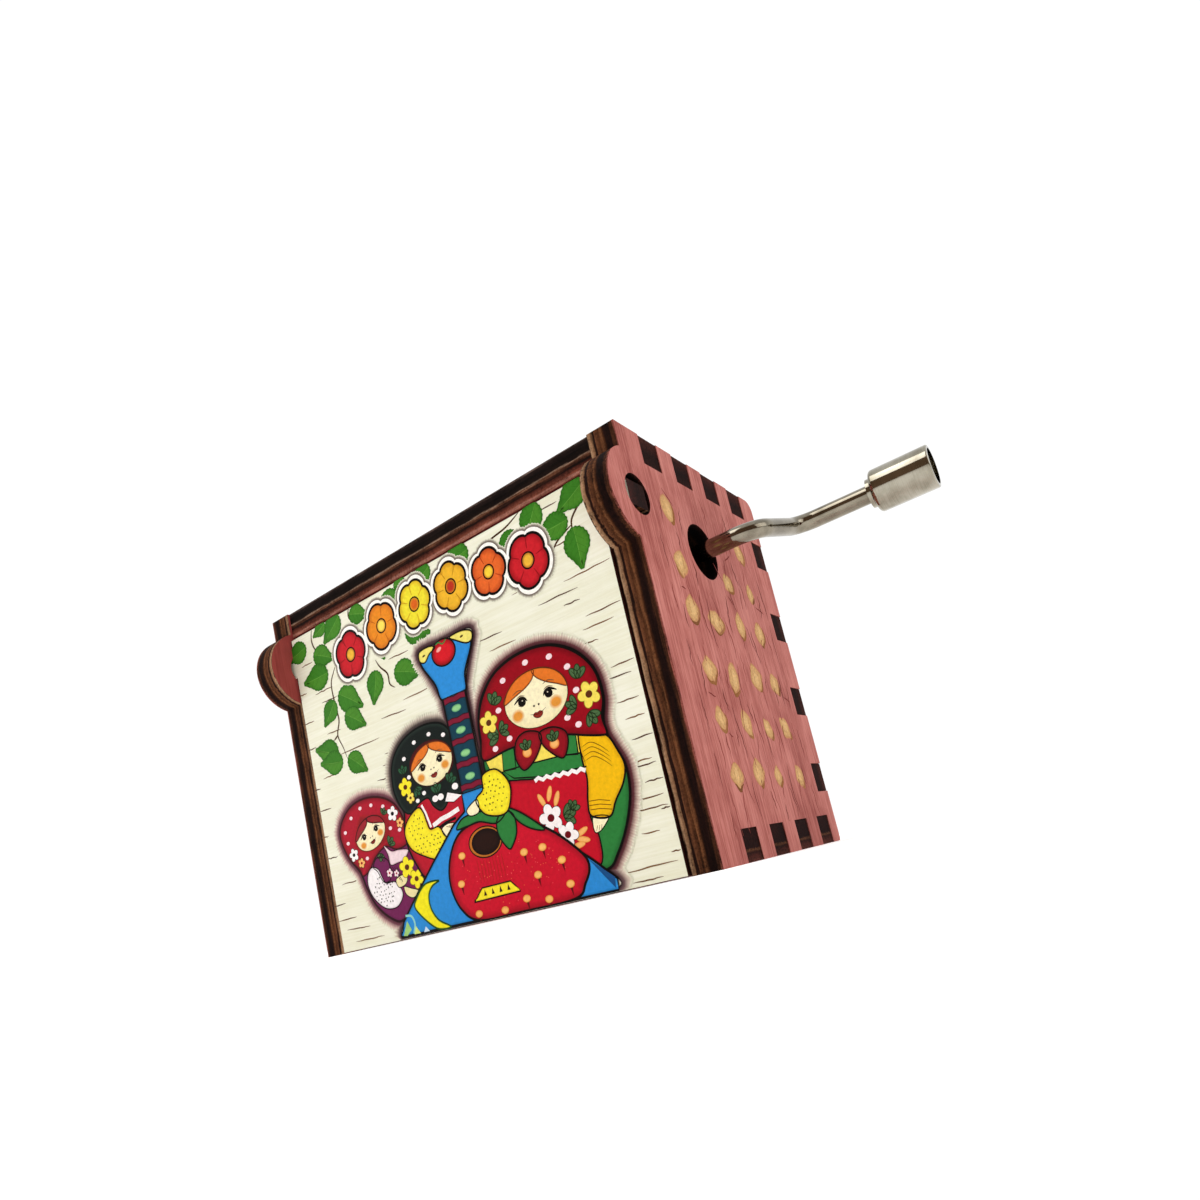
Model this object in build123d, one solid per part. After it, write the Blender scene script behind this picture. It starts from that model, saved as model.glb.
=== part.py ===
from build123d import *
import os
from math import cos, degrees, pi, radians, sin, sqrt

# Hand-crank music box in a finger-jointed plywood case, standing with its picture lid in front.
# Row frame in millimetres: X is the width and the crank axis, Y runs from the lid (-Y) to the
# rear panel (+Y), Z is up. The origin is the centre of the underside of the two side panels.

# ---------------------------------------------------------------- driving dimensions: the case
CASE_WIDTH = 65.0
CASE_HEIGHT = 51.3
CASE_DEPTH = 37.1
PLY = 3.8
JOINT_GAP = 0.05            # between a finger and its slot, on each side
FINGER_RECESS = 0.12        # how far a finger's end lies under the face it comes out of
SIDE_FINGERS = 4            # fingers on each edge that meets a side panel
TOP_FINGER = 4.2
TOP_FINGER_FRONT = 7.3      # front edge of the side panel to the middle of the first finger
TOP_FINGER_REAR = 6.1       # rear edge to the middle of the last finger
BOTTOM_FINGER = 4.2
BOTTOM_FINGER_FRONT = 8.3
BOTTOM_FINGER_REAR = 4.9
REAR_FINGER = 4.0
REAR_FINGER_END = 9.1       # top or bottom edge to the middle of the nearest finger
BACK_FINGERS = 3            # fingers of the rear panel in the top and bottom panels
BACK_FINGER = 8.0
TOP_RECESS = 0.35           # top panel's front edge behind the side panels' front edge
CORNER_TOP = 1.7            # rounding of the side panels' upper rear corner
CORNER_BOTTOM = 0.5

# ---------------------------------------------------------------- driving dimensions: the lid
LID_SIDE_GAP = 0.3
LID_PROUD = 0.3             # lid's face in front of the side panels' front edge
LID_FLOOR_GAP = 0.15
LID_BACK_GAP = 0.25         # lid to the front edge of the bottom panel
HINGE_DROP = 4.95           # underside of the top panel to the pivot
LID_SWING_GAP = 0.22        # lid's top edge to the top panel as it swings
LID_EDGE = 0.4
TAB_HEIGHT = 3.1
TAB_RECESS = 0.12
PIVOT_CLEARANCE = 0.05
EAR_WALL = 3.2

# ---------------------------------------------------------------- driving dimensions: the crank
CRANK_BELOW_TOP = 12.7
CRANK_HOLE = 7.4
ROD = 2.3
CRANK_OUT = 7.2             # right side panel's face to the crank's first corner
CRANK_LEAN = 1.7            # how much further out the second corner stands
THROW = 11.8
THROW_ANGLE = 11.5          # crank arm above the horizontal at rest, towards the rear
BEND = 3.2
KNOB_DIAMETER = 5.4
KNOB_LENGTH = 7.3
KNOB_BEYOND_ARM = 10.4      # crank's second corner to the knob's inner end
KNOB_CUP_DEPTH = 1.7
KNOB_CUP_WALL = 0.45
KNOB_PIN = 1.8
KNOB_CLEARANCE = 0.05
KNOB_END_PLAY = 0.12
KNOB_WASHER = 3.7
KNOB_WASHER_THICKNESS = 0.45
RIVET_HEAD = 3.0
RIVET_THICKNESS = 0.6

# ---------------------------------------------------------------- driving dimensions: the movement
PLATE = 2.0
PLATE_LEFT_MARGIN = 5.7     # left side panel to the movement plate
PLATE_RIGHT_MARGIN = 1.7
PLATE_FLOOR_MARGIN = 2.2
PLATE_TOP_MARGIN = 2.5
DRUM_FROM_RIGHT = 14.7      # drum axis to the right side panel
DRUM_STANDOFF = 10.05       # drum axis in front of the rear panel
DRUM_RADIUS = 6.5
DRUM_WALL = 0.5
PIN_RADIUS = 0.2
PIN_HEIGHT = 0.9
PIN_SEAT = 0.4
TRACKS = 18
ARBOR = 2.0
RUNNING_CLEARANCE = 0.04
EAR_THICKNESS = 1.8
EAR_LIFT = 0.2              # lower ear above the end of the plate
EAR_ABOVE_BRACKET = 0.4
ARBOR_BEYOND_EAR = 1.4
EAR_HALF_WIDTH = 3.2
END_FLOAT = 0.1
CAP_THICKNESS = 1.2
CAP_HUB = 0.6               # lower end cap's hub, below the drum
WHEEL_HUB = 3.4             # wheel's hub, down to the drum
TRACK_MARGIN = 1.4          # end of the drum to its first track
HUB_RADIUS = 2.2
WHEEL_TEETH = 24
WORM_STARTS = 2
WHEEL_PITCH_RADIUS = 5.6
WORM_PITCH_RADIUS = 2.2
WHEEL_FACE = 3.0
WHEEL_TIP = 0.45
WHEEL_ROOT = 0.7
WORM_TIP = 0.55
WORM_ROOT = 0.55
WORM_THREAD = 9.0
WORM_HUB_RADIUS = 1.8
THRUST_WASHER = 0.5
BRACKET = 1.2
BRACKET_ARM_HALF = 2.6
BRACKET_SPAN = 16.0         # between the two bearing arms
BRACKET_FOOT_EDGE = 0.2     # screw head to the end of the web
BRACKET_SCREW_GAP = 0.3     # bearing arm to the head of the screw beside it
CLIP_THICKNESS = 0.5
CLIP_RADIUS = 2.2
CLIP_GROOVE = 0.25
CLIP_GAP = 0.1
COMB_THICKNESS = 1.0
COMB_BAR = 9.0
COMB_LEFT_MARGIN = 9.7      # left side panel to the comb's rear edge
COMB_TIP_GAP = 0.06
COMB_SLIT = 0.33
TREBLE_SHARE = 0.45         # shortest tooth as a share of the longest
WEIGHTED_TEETH = 6
WEIGHT_HEIGHT = 1.4
SCREW_RADIUS = 1.3
SCREW_HEAD_RADIUS = 2.3
SCREW_HEAD_HEIGHT = 1.3
SCREW_SLOT = 0.5
SMALL_SCREW_RADIUS = 0.9
SMALL_HEAD_RADIUS = 1.6
SMALL_HEAD_HEIGHT = 0.9
CASE_SCREW_RADIUS = 1.4
CASE_HEAD_RADIUS = 2.8
CASE_SCREW_LENGTH = 7.2
CASE_SCREW_SUNK = 0.15
BOSS_RADIUS = 2.6
BOSS_HEIGHT = 2.6
BOSS_INSET = 3.1            # edge of the movement plate to a screw's axis
HOLE_ROOM = 0.02            # screw to its hole
BOSS_BLIND = 0.4            # solid end of a boss, in front of its screw
COMB_HOLE_DEPTH = 5.0
COMB_SCREW_GRIP = 4.5       # comb screw's length below the comb
BRACKET_SCREW_SHORT = 0.2   # bracket screw's end under the plate's rear face
SLOT_SHARE = 0.5            # depth of a screw slot as a share of its head
CROSS_LENGTH = 2.6          # cross recess of the case screws
CROSS_DEPTH = 1.6
PLATE_CORNER = 2.0
PEDESTAL_CORNER = 1.0
PEDESTAL_RELIEF = 1.0       # comb bar beyond its pedestal
COMB_MARGIN = 0.6           # comb's edge beyond its outermost tooth
COMB_SCREW_SHARE = 0.45     # comb's rear edge to its screws, as a share of the bar
TOOTH_OVERLAP = 1.5         # how far a tooth runs into the bar
WEIGHT_LENGTH = 3.6
WEIGHT_LENGTH_STEP = 0.35
WEIGHT_HEIGHT_STEP = 0.08   # share of the height lost from one weight to the next
WEIGHT_TIP_GAP = 1.2
WEIGHT_SIDE_GAP = 0.05
CRANK_CLIP_RADIUS = 2.4
CLIP_MOUTH = 1.3            # clip's opening as a share of its groove's radius
ROD_BEYOND_CLIP = 1.1
ARBOR_CHAMFER = 0.25
THRUST_RIM = 0.5            # thrust washer's edge beyond the worm's hub
WHEEL_TOOTH_ROOT = 0.34     # half a wheel tooth, as a share of its pitch, at the root
WHEEL_TOOTH_TIP = 0.13      # and at the tip
WORM_CREST_HALF = 20.0      # half a worm thread's crest, in degrees round the worm
WORM_FOOT_HALF = 60.0
KNOB_INNER_ROUND = 0.5
KNOB_RIM_ROUND = 0.2
RIVET_ROUND = 0.35
TURN = 360.0
PHRASE_START = 20.0         # angle of the first pin on the lowest track
PHRASE_STEP = 17.0          # angle between one step of the phrase and the next
PHRASE_STRIDE = 7           # steps of the phrase from track to track
FEWEST_PINS = 2             # pins on a track
PIN_STRIDE = 5
PIN_KINDS = 3
ECHO_LAG = 6.0              # how late every second pin on a track comes
THROUGH = 1.0               # how far a cut runs past the face it goes through

# ---------------------------------------------------------------- derived places
LEFT = -CASE_WIDTH / 2
RIGHT = CASE_WIDTH / 2
FRONT = -CASE_DEPTH / 2
REAR = CASE_DEPTH / 2
INNER_LEFT = LEFT + PLY
INNER_RIGHT = RIGHT - PLY
INNER_REAR = REAR - PLY
INNER_FLOOR = PLY
INNER_TOP = CASE_HEIGHT - PLY
LID_FRONT = FRONT - LID_PROUD
LID_BACK = LID_FRONT + PLY
BOTTOM_FRONT = LID_BACK + LID_BACK_GAP
HINGE_Y = (LID_FRONT + LID_BACK) / 2
HINGE_Z = INNER_TOP - HINGE_DROP
TAB_CORNER = sqrt((PLY / 2) ** 2 + (TAB_HEIGHT / 2) ** 2)
PIVOT_RADIUS = TAB_CORNER + PIVOT_CLEARANCE
EAR_RADIUS = PIVOT_RADIUS + EAR_WALL
LID_REACH = HINGE_DROP - LID_SWING_GAP - LID_EDGE
LID_TOP = HINGE_Z + LID_EDGE + sqrt(LID_REACH ** 2 - (PLY / 2 - LID_EDGE) ** 2)

DRUM_X = INNER_RIGHT - DRUM_FROM_RIGHT
DRUM_Y = INNER_REAR - DRUM_STANDOFF
WORM_Y = DRUM_Y - WHEEL_PITCH_RADIUS - WORM_PITCH_RADIUS
WORM_Z = CASE_HEIGHT - CRANK_BELOW_TOP
PIN_REACH = DRUM_RADIUS + PIN_HEIGHT
ROD_RADIUS = ROD / 2
ARBOR_RADIUS = ARBOR / 2

PLATE_FRONT = INNER_REAR - PLATE
PLATE_LEFT = INNER_LEFT + PLATE_LEFT_MARGIN
PLATE_RIGHT = INNER_RIGHT - PLATE_RIGHT_MARGIN
PLATE_BOTTOM = INNER_FLOOR + PLATE_FLOOR_MARGIN
PLATE_TOP = INNER_TOP - PLATE_TOP_MARGIN

WHEEL_BOTTOM = WORM_Z - WHEEL_FACE / 2
WHEEL_TOP = WORM_Z + WHEEL_FACE / 2
UPPER_EAR_BOTTOM = WORM_Z + BRACKET_ARM_HALF + EAR_ABOVE_BRACKET
UPPER_EAR_TOP = UPPER_EAR_BOTTOM + EAR_THICKNESS
LOWER_EAR_BOTTOM = PLATE_BOTTOM + EAR_LIFT
LOWER_EAR_TOP = LOWER_EAR_BOTTOM + EAR_THICKNESS
DRUM_BOTTOM = LOWER_EAR_TOP + END_FLOAT + CAP_HUB
DRUM_TOP = WHEEL_BOTTOM - WHEEL_HUB
TRACK_PITCH = (DRUM_TOP - DRUM_BOTTOM - 2 * TRACK_MARGIN) / (TRACKS - 1)
ARBOR_BOTTOM = LOWER_EAR_BOTTOM - ARBOR_BEYOND_EAR
ARBOR_TOP = UPPER_EAR_TOP + ARBOR_BEYOND_EAR

ARM_LEFT = DRUM_X - BRACKET_SPAN / 2 - BRACKET / 2
ARM_RIGHT = DRUM_X + BRACKET_SPAN / 2 + BRACKET / 2
WORM_LEAD = 2 * pi * WHEEL_PITCH_RADIUS * WORM_STARTS / WHEEL_TEETH
LEAD_SLOPE = WORM_LEAD / (2 * pi * WORM_PITCH_RADIUS)

KNOB_Y = WORM_Y + THROW * cos(radians(THROW_ANGLE))
KNOB_Z = WORM_Z + THROW * sin(radians(THROW_ANGLE))
BEND_1_X = RIGHT + CRANK_OUT
BEND_2_X = BEND_1_X + CRANK_LEAN
KNOB_START = BEND_2_X + KNOB_BEYOND_ARM
KNOB_END = KNOB_START + KNOB_LENGTH
KNOB_WEB_END = KNOB_END - KNOB_CUP_DEPTH
ROD_SHOULDER = KNOB_START - KNOB_END_PLAY - KNOB_WASHER_THICKNESS

COMB_REAR = INNER_LEFT + COMB_LEFT_MARGIN
COMB_ROOT = COMB_REAR + COMB_BAR
COMB_TIP = DRUM_X - PIN_REACH - COMB_TIP_GAP
COMB_BOTTOM = DRUM_BOTTOM + TRACK_MARGIN - TRACK_PITCH / 2 - COMB_MARGIN
COMB_TOP = DRUM_TOP - TRACK_MARGIN + TRACK_PITCH / 2 + COMB_MARGIN
COMB_FRONT = DRUM_Y - COMB_THICKNESS / 2
COMB_BACK = DRUM_Y + COMB_THICKNESS / 2
COMB_SCREW_X = COMB_REAR + COMB_BAR * COMB_SCREW_SHARE
COMB_SCREW_INSET = 5.0

CASE_SCREWS = [
    (PLATE_LEFT + BOSS_INSET, PLATE_BOTTOM + BOSS_INSET),
    (PLATE_LEFT + BOSS_INSET, PLATE_TOP - BOSS_INSET),
    (PLATE_RIGHT - BOSS_INSET, PLATE_BOTTOM + 2 * BOSS_INSET),
]


# ---------------------------------------------------------------- helpers
def block(x0, x1, y0, y1, z0, z1):
    """A box between two corners."""
    middle = Pos((x0 + x1) / 2, (y0 + y1) / 2, (z0 + z1) / 2)
    return middle * Box(x1 - x0, y1 - y0, z1 - z0)


def rod_x(radius, x0, x1, y, z):
    """A cylinder along X."""
    return Pos((x0 + x1) / 2, y, z) * Rot(0, 90, 0) * Cylinder(radius, x1 - x0)


def rod_y(radius, y0, y1, x, z):
    """A cylinder along Y."""
    return Pos(x, (y0 + y1) / 2, z) * Rot(90, 0, 0) * Cylinder(radius, y1 - y0)


def rod_z(radius, z0, z1, x, y):
    """A cylinder along Z."""
    return Pos(x, y, (z0 + z1) / 2) * Cylinder(radius, z1 - z0)


def steps(first, last, count):
    """Evenly spaced places from first to last."""
    return [first + (last - first) * i / (count - 1) for i in range(count)]


def top_finger_places():
    """Y of the top panel's fingers."""
    return steps(FRONT + TOP_FINGER_FRONT, REAR - TOP_FINGER_REAR, SIDE_FINGERS)


def bottom_finger_places():
    """Y of the bottom panel's fingers."""
    return steps(FRONT + BOTTOM_FINGER_FRONT, REAR - BOTTOM_FINGER_REAR, SIDE_FINGERS)


def rear_finger_places():
    """Z of the rear panel's fingers in the side panels."""
    return steps(REAR_FINGER_END, CASE_HEIGHT - REAR_FINGER_END, SIDE_FINGERS)


def back_finger_places():
    """X of the rear panel's fingers in the top and bottom panels."""
    spread = (INNER_RIGHT - INNER_LEFT) / BACK_FINGERS
    return steps(-spread, spread, BACK_FINGERS)


# ---------------------------------------------------------------- case panels
def side_panel(side):
    """A side panel with its hinge ear; side is +1 for the right one and -1 for the left one."""
    x0 = INNER_RIGHT if side > 0 else LEFT
    x1 = RIGHT if side > 0 else INNER_LEFT
    outline = block(x0, x1, FRONT, REAR, 0, CASE_HEIGHT)
    vertical = outline.edges().filter_by(Axis.X).sort_by(Axis.Y)[-2:].sort_by(Axis.Z)
    outline = fillet(vertical[-1], CORNER_TOP)
    low = outline.edges().filter_by(Axis.X).sort_by(Axis.Y)[-2:].sort_by(Axis.Z)
    outline = fillet(low[0], CORNER_BOTTOM)
    panel = outline + rod_x(EAR_RADIUS, x0, x1, HINGE_Y, HINGE_Z)
    panel -= rod_x(PIVOT_RADIUS, x0 - THROUGH, x1 + THROUGH, HINGE_Y, HINGE_Z)
    for y in top_finger_places():
        half = TOP_FINGER / 2
        panel -= block(x0 - THROUGH, x1 + THROUGH, y - half, y + half, INNER_TOP, CASE_HEIGHT + THROUGH)
    for y in bottom_finger_places():
        half = BOTTOM_FINGER / 2
        panel -= block(x0 - THROUGH, x1 + THROUGH, y - half, y + half, -THROUGH, INNER_FLOOR)
    for z in rear_finger_places():
        half = REAR_FINGER / 2
        panel -= block(x0 - THROUGH, x1 + THROUGH, INNER_REAR, REAR + THROUGH, z - half, z + half)
    if side > 0:
        panel -= rod_x(CRANK_HOLE / 2, x0 - THROUGH, x1 + THROUGH, WORM_Y, WORM_Z)
    return panel


def side_fingers(places, width, low, high, axis):
    """Fingers that reach into both side panels, along Y or Z edges of a cross panel."""
    fingers = []
    half = width / 2 - JOINT_GAP
    for place in places:
        for x0, x1 in ((INNER_RIGHT, RIGHT - FINGER_RECESS), (LEFT + FINGER_RECESS, INNER_LEFT)):
            if axis == "y":
                fingers.append(block(x0, x1, place - half, place + half, low, high))
            else:
                fingers.append(block(x0, x1, low, high, place - half, place + half))
    return fingers


def top_panel():
    """The top panel with its side fingers and the slots for the rear panel."""
    panel = block(INNER_LEFT, INNER_RIGHT, FRONT + TOP_RECESS, REAR, INNER_TOP, CASE_HEIGHT)
    for finger in side_fingers(top_finger_places(), TOP_FINGER, INNER_TOP, CASE_HEIGHT, "y"):
        panel += finger
    for x in back_finger_places():
        half = BACK_FINGER / 2
        panel -= block(x - half, x + half, INNER_REAR, REAR + THROUGH, INNER_TOP - THROUGH, CASE_HEIGHT + THROUGH)
    return panel


def bottom_panel():
    """The bottom panel, which stops behind the lid."""
    panel = block(INNER_LEFT, INNER_RIGHT, BOTTOM_FRONT, REAR, 0, INNER_FLOOR)
    for finger in side_fingers(bottom_finger_places(), BOTTOM_FINGER, 0, INNER_FLOOR, "y"):
        panel += finger
    for x in back_finger_places():
        half = BACK_FINGER / 2
        panel -= block(x - half, x + half, INNER_REAR, REAR + THROUGH, -THROUGH, INNER_FLOOR + THROUGH)
    return panel


def rear_panel():
    """The rear panel with its fingers and the three countersunk screw holes."""
    panel = block(INNER_LEFT, INNER_RIGHT, INNER_REAR, REAR, INNER_FLOOR, INNER_TOP)
    for finger in side_fingers(rear_finger_places(), REAR_FINGER, INNER_REAR, REAR, "z"):
        panel += finger
    half = BACK_FINGER / 2 - JOINT_GAP
    for x in back_finger_places():
        panel += block(x - half, x + half, INNER_REAR, REAR, INNER_TOP, CASE_HEIGHT - FINGER_RECESS)
        panel += block(x - half, x + half, INNER_REAR, REAR, FINGER_RECESS, INNER_FLOOR)
    for x, z in CASE_SCREWS:
        panel -= rod_y(CASE_SCREW_RADIUS + HOLE_ROOM, INNER_REAR - THROUGH, REAR + THROUGH, x, z)
        panel -= screw_cone(x, z, HOLE_ROOM)
    return panel


def picture_lid():
    """The lid: a plate hung between the ears on two square tabs cut from the same ply."""
    left = INNER_LEFT + LID_SIDE_GAP
    right = INNER_RIGHT - LID_SIDE_GAP
    plate = block(left, right, LID_FRONT, LID_BACK, LID_FLOOR_GAP, LID_TOP)
    upper = plate.edges().filter_by(Axis.X).group_by(Axis.Z)[-1]
    plate = fillet(upper, LID_EDGE)
    half = TAB_HEIGHT / 2
    for x0, x1 in ((LEFT + TAB_RECESS, left), (right, RIGHT - TAB_RECESS)):
        plate += block(x0, x1, LID_FRONT, LID_BACK, HINGE_Z - half, HINGE_Z + half)
    return plate


# ---------------------------------------------------------------- movement frame and bracket
def movement_frame():
    """Die-cast plate with the comb's pedestal, two arbor ears and three screw bosses."""
    frame = block(PLATE_LEFT, PLATE_RIGHT, PLATE_FRONT, INNER_REAR, PLATE_BOTTOM, PLATE_TOP)
    frame = fillet(frame.edges().filter_by(Axis.Y), PLATE_CORNER)
    pedestal = block(COMB_REAR, COMB_ROOT - PEDESTAL_RELIEF, COMB_BACK, PLATE_FRONT, COMB_BOTTOM, COMB_TOP)
    frame += fillet(pedestal.edges().filter_by(Axis.Y), PEDESTAL_CORNER)
    for z0, z1 in ((LOWER_EAR_BOTTOM, LOWER_EAR_TOP), (UPPER_EAR_BOTTOM, UPPER_EAR_TOP)):
        left = DRUM_X - EAR_HALF_WIDTH
        right = DRUM_X + EAR_HALF_WIDTH
        frame += block(left, right, DRUM_Y, PLATE_FRONT, z0, z1)
        frame += rod_z(EAR_HALF_WIDTH, z0, z1, DRUM_X, DRUM_Y)
        frame -= rod_z(ARBOR_RADIUS + RUNNING_CLEARANCE, z0 - THROUGH, z1 + THROUGH, DRUM_X, DRUM_Y)
    for x, z in CASE_SCREWS:
        frame += rod_y(BOSS_RADIUS, PLATE_FRONT - BOSS_HEIGHT, PLATE_FRONT, x, z)
        end = PLATE_FRONT - BOSS_HEIGHT + BOSS_BLIND
        frame -= rod_y(CASE_SCREW_RADIUS + HOLE_ROOM, end, INNER_REAR + THROUGH, x, z)
    for x, z in comb_screw_places():
        frame -= rod_y(SCREW_RADIUS + HOLE_ROOM, COMB_BACK - THROUGH, COMB_BACK + COMB_HOLE_DEPTH, x, z)
    for x, z in bracket_screw_places():
        frame -= rod_y(SMALL_SCREW_RADIUS + HOLE_ROOM, PLATE_FRONT - THROUGH, INNER_REAR + THROUGH, x, z)
    return frame


def comb_screw_places():
    """X and Z of the comb's screws."""
    return [(COMB_SCREW_X, COMB_BOTTOM + COMB_SCREW_INSET), (COMB_SCREW_X, COMB_TOP - COMB_SCREW_INSET)]


def bracket_screw_places():
    """X and Z of the bracket's screws, one outside each arm."""
    inset = BRACKET / 2 + BRACKET_SCREW_GAP + SMALL_HEAD_RADIUS
    return [(ARM_LEFT - inset, WORM_Z), (ARM_RIGHT + inset, WORM_Z)]


def worm_bracket():
    """Bent steel strip: a web on the frame and two arms that carry the crank rod."""
    z0 = WORM_Z - BRACKET_ARM_HALF
    z1 = WORM_Z + BRACKET_ARM_HALF
    foot = SMALL_HEAD_RADIUS + BRACKET_FOOT_EDGE
    places = bracket_screw_places()
    bracket = block(places[0][0] - foot, places[1][0] + foot, PLATE_FRONT - BRACKET, PLATE_FRONT, z0, z1)
    for x in (ARM_LEFT, ARM_RIGHT):
        x0 = x - BRACKET / 2
        x1 = x + BRACKET / 2
        bracket += block(x0, x1, WORM_Y, PLATE_FRONT, z0, z1)
        bracket += rod_x(BRACKET_ARM_HALF, x0, x1, WORM_Y, WORM_Z)
        bracket -= rod_x(ROD_RADIUS + RUNNING_CLEARANCE, x0 - THROUGH, x1 + THROUGH, WORM_Y, WORM_Z)
    for x, z in places:
        front = PLATE_FRONT - BRACKET - THROUGH
        bracket -= rod_y(SMALL_SCREW_RADIUS + HOLE_ROOM, front, PLATE_FRONT + THROUGH, x, z)
    return bracket


# ---------------------------------------------------------------- fasteners
def slotted_screw(x, z, seat, radius, length, head_radius, head_height):
    """A cheese-head screw that goes in along +Y; seat is the Y of the face under its head."""
    screw = rod_y(head_radius, seat - head_height, seat, x, z)
    screw += rod_y(radius, seat, seat + length, x, z)
    half = SCREW_SLOT / 2
    depth = head_height * SLOT_SHARE
    top = seat - head_height
    screw -= block(x - head_radius, x + head_radius, top - THROUGH, top + depth, z - half, z + half)
    return screw


def bracket_screws():
    """The two screws that hold the bracket."""
    seat = PLATE_FRONT - BRACKET
    length = BRACKET + PLATE - BRACKET_SCREW_SHORT
    return [slotted_screw(x, z, seat, SMALL_SCREW_RADIUS, length, SMALL_HEAD_RADIUS, SMALL_HEAD_HEIGHT)
            for x, z in bracket_screw_places()]


def comb_screws():
    """The two screws that hold the comb."""
    length = COMB_THICKNESS + COMB_SCREW_GRIP
    return [slotted_screw(x, z, COMB_FRONT, SCREW_RADIUS, length, SCREW_HEAD_RADIUS, SCREW_HEAD_HEIGHT)
            for x, z in comb_screw_places()]


def screw_cone(x, z, room):
    """The countersunk head of a case screw, or its seat when room is added."""
    height = CASE_HEAD_RADIUS - CASE_SCREW_RADIUS
    small = CASE_SCREW_RADIUS + room
    large = CASE_HEAD_RADIUS + room
    head_top = REAR - CASE_SCREW_SUNK
    cone = Pos(x, head_top - height / 2, z) * Rot(-90, 0, 0) * Cone(small, large, height)
    if room:
        cone += rod_y(large, head_top, REAR + THROUGH, x, z)
    return cone


def movement_screws():
    """The three countersunk screws that hold the movement to the rear panel."""
    screws = []
    head_top = REAR - CASE_SCREW_SUNK
    for x, z in CASE_SCREWS:
        shank_end = head_top - CASE_SCREW_LENGTH
        screw = screw_cone(x, z, 0) + rod_y(CASE_SCREW_RADIUS, shank_end, head_top - THROUGH, x, z)
        for angle in (0, 90):
            cross = Box(CROSS_LENGTH, CROSS_DEPTH, SCREW_SLOT)
            screw -= Pos(x, head_top, z) * Rot(0, angle, 0) * cross
        screws.append(screw)
    return screws


def clip(radius, shaft, thickness):
    """An open retaining ring about Z, centred on the origin, that grips a groove in a shaft."""
    groove = shaft - CLIP_GROOVE
    ring = Cylinder(radius, thickness) - Cylinder(groove, thickness + THROUGH)
    return ring - Pos(radius, 0, 0) * Box(2 * radius, groove * CLIP_MOUTH, thickness + THROUGH)


# ---------------------------------------------------------------- comb
def tooth_places():
    """Z of the comb's teeth and of the drum's tracks."""
    first = DRUM_BOTTOM + TRACK_MARGIN
    return [first + TRACK_PITCH * i for i in range(TRACKS)]


def tooth_root(index):
    """X where a tooth leaves the bar: long bass teeth below, short treble teeth above."""
    longest = COMB_TIP - COMB_ROOT
    share = 1 - (1 - TREBLE_SHARE) * index / (TRACKS - 1)
    return COMB_TIP - longest * share


def comb():
    """The steel comb: a bar with one tooth for each track."""
    low_root = tooth_root(0)
    high_root = tooth_root(TRACKS - 1)
    corners = [(COMB_REAR, COMB_BOTTOM), (low_root, COMB_BOTTOM),
               (high_root, COMB_TOP), (COMB_REAR, COMB_TOP)]
    plane = Plane(origin=(0, COMB_BACK, 0), x_dir=(1, 0, 0), z_dir=(0, -1, 0))
    plate = extrude(plane * make_face(Polyline(*corners, close=True)), COMB_THICKNESS)
    half = (TRACK_PITCH - COMB_SLIT) / 2
    for index, z in enumerate(tooth_places()):
        plate += block(tooth_root(index) - TOOTH_OVERLAP, COMB_TIP, COMB_FRONT, COMB_BACK, z - half, z + half)
    for x, z in comb_screw_places():
        plate -= rod_y(SCREW_RADIUS + HOLE_ROOM, COMB_FRONT - THROUGH, COMB_BACK + THROUGH, x, z)
    return plate


def comb_weights():
    """Lead tuning weights under the tips of the bass teeth, smaller towards the treble."""
    weights = []
    half = (TRACK_PITCH - COMB_SLIT) / 2 - WEIGHT_SIDE_GAP
    end = COMB_TIP - WEIGHT_TIP_GAP
    for index, z in enumerate(tooth_places()[:WEIGHTED_TEETH]):
        length = WEIGHT_LENGTH - WEIGHT_LENGTH_STEP * index
        height = WEIGHT_HEIGHT * (1 - WEIGHT_HEIGHT_STEP * index)
        weights.append(block(end - length, end, COMB_BACK, COMB_BACK + height, z - half, z + half))
    return weights


# ---------------------------------------------------------------- drum
def drum_tube():
    """The drum's thin wall."""
    wall = DRUM_RADIUS - DRUM_WALL
    return rod_z(DRUM_RADIUS, DRUM_BOTTOM, DRUM_TOP, DRUM_X, DRUM_Y) - rod_z(
        wall, DRUM_BOTTOM - THROUGH, DRUM_TOP + THROUGH, DRUM_X, DRUM_Y)


def drum_end_caps():
    """The discs that close the drum and carry it on its arbor."""
    wall = DRUM_RADIUS - DRUM_WALL
    low = rod_z(wall, DRUM_BOTTOM, DRUM_BOTTOM + CAP_THICKNESS, DRUM_X, DRUM_Y)
    low += rod_z(HUB_RADIUS, DRUM_BOTTOM - CAP_HUB, DRUM_BOTTOM, DRUM_X, DRUM_Y)
    high = rod_z(wall, DRUM_TOP - CAP_THICKNESS, DRUM_TOP, DRUM_X, DRUM_Y)
    shaft = rod_z(ARBOR_RADIUS, DRUM_BOTTOM - THROUGH, DRUM_TOP + THROUGH, DRUM_X, DRUM_Y)
    return [low - shaft, high - shaft]


def tune():
    """Pins on each track, as angles in degrees: a short rising and falling phrase, then its echo."""
    pins = []
    for track in range(TRACKS):
        first = PHRASE_START + PHRASE_STEP * ((track * PHRASE_STRIDE) % TRACKS)
        count = FEWEST_PINS + (track * PIN_STRIDE) % PIN_KINDS
        for i in range(count):
            pins.append((track, first + i * TURN / count + ECHO_LAG * (i % 2)))
    return pins


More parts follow.
